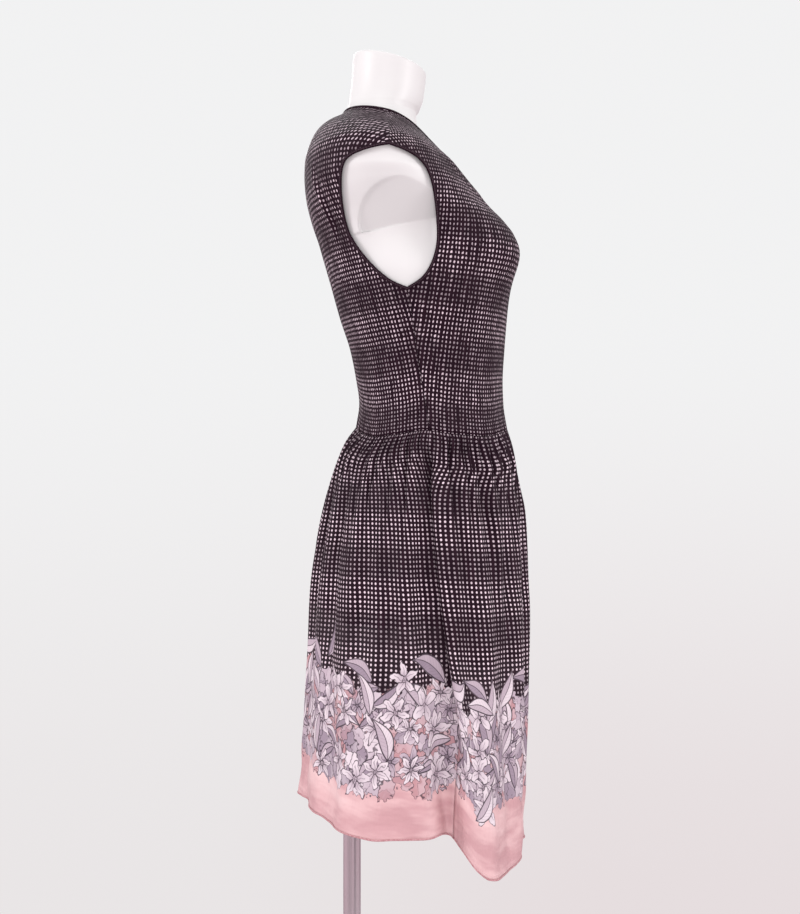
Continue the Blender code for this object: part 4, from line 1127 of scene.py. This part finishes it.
def build_border(t, given):
    """The flower border: crowded small petals, then leaves and larger flowers drawn over them."""
    place = given["Place"]
    _, height, _ = t.split(place)
    warped = t.vector("ADD", place, t.pushed(place, 150.0, PETAL_WARP))
    cells = t.cells(warped, 1 / SMALL_PETAL, 1.0)
    edges = t.cells(warped, 1 / SMALL_PETAL, 1.0, feature="DISTANCE_TO_EDGE")["Distance"]
    tone, turn, vein_turn = t.split(cells["Color"])
    centre_height = t.split(cells["Position"])[1]
    (low, low_varies), (high, high_varies) = SMALL_PETALS_LOW, SMALL_PETALS_HIGH
    there = (centre_height > turn * low_varies + low) * (centre_height < turn * high_varies + high)
    colour = ROSE
    for start, end, next_colour in SMALL_PETAL_COLOURS:
        colour = t.mix(t.soft(tone, start, end), colour, next_colour)
    x, y, _ = t.split(t.vector("SUBTRACT", warped, cells["Position"]))
    angle = vein_turn * math.tau
    across_petal = x * t.math("COSINE", angle) + y * t.math("SINE", angle)
    colour = t.mix(t.soft(across_petal, *SMALL_PETAL_SIDE) * SMALL_PETAL_SHADE, colour, WHITE_PRINT)
    vein = t.soft(abs(across_petal), *SMALL_VEIN) * SMALL_VEIN_SHARE
    lines = t.math("MAXIMUM", t.soft(edges * SMALL_PETAL, *SMALL_RIM), vein) * there
    colour = t.mix(lines * SMALL_INK_SHARE, colour, INK)
    whole = there
    for motif, dark, light, seed in BORDER_LAYERS:
        made = t.use(drawn[type(motif)], Place=place, Seed=seed, **motif._asdict())
        body = t.mix(t.soft(made["Shade"], *BODY_EDGE), dark, light)
        colour = t.mix(made["Shape"], colour, body)
        colour = t.mix(made["Ink"] * INK_SHARE, colour, INK)
        whole = t.math("MAXIMUM", whole, t.math("MAXIMUM", made["Shape"], made["Ink"]))
    wash = t.soft(t.noise(place, 34.0), *WASH_EDGE)
    colour = t.mix(wash * WASH_SHARE, colour, LILAC)
    return {"Colour": colour, "Printed": whole, "Below": t.soft(height, *BELOW_EDGE)}


def new_material(name):
    material = bpy.data.materials.new(name)
    material.use_nodes = True
    tree = Tree(material.node_tree)
    return material, tree, material.node_tree.nodes["Principled BSDF"].inputs


def set_bump(t, shader, height, distance, strength=1.0):
    bump = t.node("Bump", {"Height": height, "Distance": distance, "Strength": strength})
    t.feed(shader["Normal"], bump["Normal"])


def set_cloth_shader(t, shader, colour, height, relief, roughness=0.66, specular=0.10):
    t.feed(shader["Base Color"], colour)
    t.feed(shader["Roughness"], roughness)
    shader["Specular IOR Level"].default_value = specular
    set_bump(t, shader, height, relief)


def dotted(t, place, squeeze, radius, brightness):
    """The dotted print's colour, with painted shade on the dots in folds, and its crinkles."""
    made = t.use(dots, Place=place, Squeeze=squeeze, Radius=radius)
    # Painted shade: the fold map's depth darkens the dots in the skirt's valleys and gathers and the
    # bodice's creases
    deep = t.split(t.uv("fold"))[0]
    light = made["Light"] * (brightness - deep * FOLD_PAINTED_SHADE)
    bright = t.mix(light, BLACK, DOT_COLOUR, clamp_factor=False)
    cloth = t.use(weave, Place=place)
    # Painted light: the ground is drawn lighter where the crinkle relief stands highest
    ground = t.mix(t.soft(cloth["Crinkle"], 0.3, 0.75), GROUND, GROUND_LIGHT)
    return t.mix(made["Dots"], ground, bright), cloth


def dotted_cloth(name, crinkle, squeeze, radius, brightness):
    """Dotted cloth, whose crinkles push the dots from side to side."""
    material, t, shader = new_material(name)
    x, y, _ = t.split(t.uv("cloth"))
    puckered = t.crinkles(x, y, 150.0, 22.0, roughness=0.6)
    fine = t.crinkles(x, y, 520.0, 70.0, detail=1.0)
    pushed, lifted = (puckered - 0.5) * crinkle, (fine - 0.5) * (crinkle * FINE_PUSH)
    colour, cloth = dotted(t, t.join(x + pushed + lifted, y + lifted), squeeze, radius, brightness)
    shaded = (1.0 - t.soft(puckered, *PUCKER_EDGE)) * min(PUCKER_SHADE_MOST, crinkle * PUCKER_SHADE)
    colour = t.mix(shaded, colour, GROUND)
    height = cloth["Height"] + (puckered * PUCKER_RIB + fine * FINE_RIB) * (crinkle * RIB_RELIEF)
    set_cloth_shader(t, shader, colour, height, CLOTH_RELIEF)
    return material


def bordered_cloth():
    """The lower skirt: dots, the flower border over them and the pink band below."""
    material, t, shader = new_material("printed border")
    colour, cloth = dotted(t, t.uv("cloth"), squeeze=1.0, radius=DOT_RADIUS, brightness=1.0)
    place = t.uv("border")
    printed = t.use(border, Place=place)
    x, y, _ = t.split(place)
    slanted, level = x * FOLD_SLANT[0] + y * FOLD_SLANT[1], y * FOLD_LEVEL[0] - x * FOLD_LEVEL[1]
    shadows = t.noise(t.join(slanted, level), 1.0, 3.0, 0.55)
    streaks = t.crinkles(x, y, 330.0, 12.0)
    # Painted shade in the folds' hollows and along the fine streaks, and painted light on the folds' tops
    pink = t.mix(t.soft(shadows, *PINK_SHADOW_EDGE), DEEP_PINK_AND_SHADOW, PINK)
    pink = t.mix(t.soft(shadows, *PINK_LIGHT_EDGE) * PINK_LIGHT_SHARE, pink, PINK_LIGHT)
    pink = t.mix(t.soft(streaks, *STREAK_EDGE) * STREAK_SHARE, pink, DEEP_PINK_AND_SHADOW)
    stitched = t.use(stitches, Place=t.uv("hem"), Away=HEM_STITCH_HEIGHT)["Mask"]
    pink = t.mix(stitched * STITCH_SHARE, pink, DEEP_PINK_AND_SHADOW)
    colour = t.mix(printed["Below"], colour, pink)
    colour = t.mix(printed["Printed"], colour, printed["Colour"])
    in_pink = t.soft(y, *IN_PINK_EDGE)
    # The relief reads nothing of the border's drawing: a bump from a group of that size renders black
    height = cloth["Height"] + (shadows * SHADOW_RELIEF + streaks * STREAK_RELIEF) * (in_pink + RELIEF_ABOVE)
    roughness = PRINT_ROUGHNESS - in_pink * PINK_SMOOTHER
    set_cloth_shader(t, shader, colour, height, CLOTH_RELIEF, roughness, PRINT_SHINE)
    return material


def plain_cloth(name, colour, light, stitched):
    """A plain strip of cloth with a row of stitches along it."""
    material, t, shader = new_material(name)
    mottle = t.noise(t.object_place(), 420.0, 3.0, dimensions="3D")
    shade = t.mix(t.soft(mottle, 0.3, 0.7), colour, light)
    row = t.use(stitches, Place=t.uv("strip"), Away=STRIP_STITCH_PLACE)["Mask"]
    shade = t.mix(row, shade, stitched)
    set_cloth_shader(t, shader, shade, mottle + row * 1.5, BINDING_RELIEF)
    return material


def white_shell():
    """Moulded satin white, very slightly uneven, with faint handling marks."""
    material, t, shader = new_material("white moulded shell")
    place = t.object_place()
    slow, fine = (t.noise(place, scale, 3.0, dimensions="3D") for scale in (9.0, 160.0))
    t.feed(shader["Base Color"], t.mix(t.soft(slow, 0.3, 0.7), *FORM_COLOURS))
    t.feed(shader["Roughness"], fine * 0.16 + 0.34)
    shader["Specular IOR Level"].default_value = 0.35
    set_bump(t, shader, slow, 0.0015, 0.25)
    return material


def brushed_steel(name, around):
    """Satin steel, brushed along the pole, or round the plate where around is true."""
    material, t, shader = new_material(name)
    x, y, z = t.split(t.object_place())
    if around:
        grain = t.noise(t.join(t.vector("LENGTH", t.join(x, y)) * 2600.0, z * 40.0), 1.0)
    else:
        grain = t.noise(t.join(x * 1400.0, y * 1400.0, z * 9.0), 1.0, dimensions="3D")
    t.feed(shader["Base Color"], t.mix(grain, *STEEL_COLOURS))
    t.feed(shader["Roughness"], grain * 0.18 + 0.22)
    shader["Metallic"].default_value = 1.0
    set_bump(t, shader, grain, 0.00006, 0.5)
    return material


def pale_floor():
    bpy.ops.object.select_all(action="DESELECT")
    size = dict(radius=FLOOR_RADIUS, depth=FLOOR_THICK)
    bpy.ops.mesh.primitive_cylinder_add(vertices=128, location=FLOOR_MIDDLE, **size)
    floor = bpy.context.object
    floor.name = "floor"
    bpy.ops.object.transform_apply(location=True, rotation=True, scale=True)
    material, t, shader = new_material("pale floor")
    t.feed(shader["Base Color"], t.mix(t.noise(t.object_place(), 3.0, dimensions="3D"), *FLOOR_COLOURS))
    shader["Roughness"].default_value = 0.6
    floor.data.materials.append(material)


def room():
    """The backdrop that the camera sees, and the pale room that lights and mirrors in the stand."""
    world = bpy.data.worlds.new("studio")
    bpy.context.scene.world = world
    world.use_nodes = True
    t = Tree(world.node_tree)
    back = world.node_tree.nodes["Background"].inputs
    _, y, z = t.split(t.node("TexCoord")["Generated"])
    low = t.mix(t.soft(y, *BACKDROP_SIDES), *BACKDROP_LOW)
    seen = t.mix(t.soft(z, *BACKDROP_RISE), low, BACKDROP_HIGH)
    walls = t.mix(t.soft(z, *ROOM_RISE), *ROOM_COLOURS)
    beside = abs(y + CARD_MIDDLE)
    card = t.soft(beside, *CARD_INNER) * t.soft(beside, *CARD_OUTER)
    level = t.soft(z, *CARD_TOP) * t.soft(z, *CARD_FOOT)
    walls = t.mix(card * level * CARD_SHARE, walls, CARD_COLOUR)
    eye = t.node("LightPath")["Is Camera Ray"]
    t.feed(back["Color"], t.mix(eye, walls, seen))
    back["Strength"].default_value = 1.0


def lamps_and_camera():
    """Even light, with a low lamp that the steel doesn't mirror, and the photograph's camera."""
    for lamp in LAMPS:
        bpy.ops.object.light_add(type="AREA", location=lamp.place)
        made = bpy.context.object
        made.name = lamp.name
        made.data.size, made.data.energy = lamp.size, lamp.power
        made.visible_glossy = lamp.name != "low"
        made.rotation_euler = (Vector(LAMPS_AIM) - Vector(lamp.place)).to_track_quat("-Z", "Y").to_euler()

    bpy.ops.object.camera_add(location=CAMERA_PLACE, rotation=(math.pi / 2, 0, -math.pi / 2))
    camera = bpy.context.object
    camera.data.lens, camera.data.sensor_width = CAMERA_LENS, CAMERA_SENSOR
    bpy.context.scene.camera = camera
    bpy.context.scene.view_settings.view_transform = "Standard"


dots = group("dots", "Place Squeeze Radius", "Dots Light", build_dots)
weave = group("weave", "Place", "Crinkle Height", build_weave)
stitches = group("stitches", "Place Away", "Mask", build_stitches)
drawn = {
    motif: group(name, " ".join(("Place", "Seed", *motif._fields)), "Shape Ink Shade", build)
    for motif, name, build in (
        (Flowers, "drawn flowers", build_flower),
        (Leaves, "drawn leaves", build_leaf),
    )
}
border = group("flower border", "Place", "Colour Printed Below", build_border)

pale_floor()
room()
lamps_and_camera()
bodice_cloth = dotted_cloth(
    "crinkled dotted cloth", crinkle=0.0042, squeeze=1.15, radius=CRINKLED_DOT_RADIUS, brightness=0.92
)
skirt_cloth = dotted_cloth("dotted cloth", crinkle=0.0006, squeeze=1.0, radius=DOT_RADIUS, brightness=1.0)
border_cloth = bordered_cloth()
binding_cloth = plain_cloth("dark binding", GROUND, GROUND_LIGHT, DARK_STITCH)
pink_edge = plain_cloth("pink edge", PINK_EDGE, DEEP_PINK_AND_SHADOW, PINK)

dress_form(white_shell())
for side in ("front", "back"):
    bodice_panel(side, bodice_cloth)
side_turn = side_seam(np.zeros(1))[0][0]
right_seam, left_seam = (side_turn, RIGHT_SEAM_HEM_TURN), (360 - side_turn, LEFT_SEAM_HEM_TURN)
skirt_materials = [skirt_cloth, border_cloth, pink_edge]
skirt_panel("front", [turn - 360 for turn in left_seam], right_seam, skirt_materials)
skirt_panel("back", right_seam, left_seam, skirt_materials)
bindings(binding_cloth)

steel, plate_steel = brushed_steel("brushed steel", False), brushed_steel("brushed plate", True)
for name in ("pole", "top_socket", "base_collar", "base_plate"):
    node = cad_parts[name]
    node.data.materials.clear()
    node.data.materials.append(plate_steel if name == "base_plate" else steel)
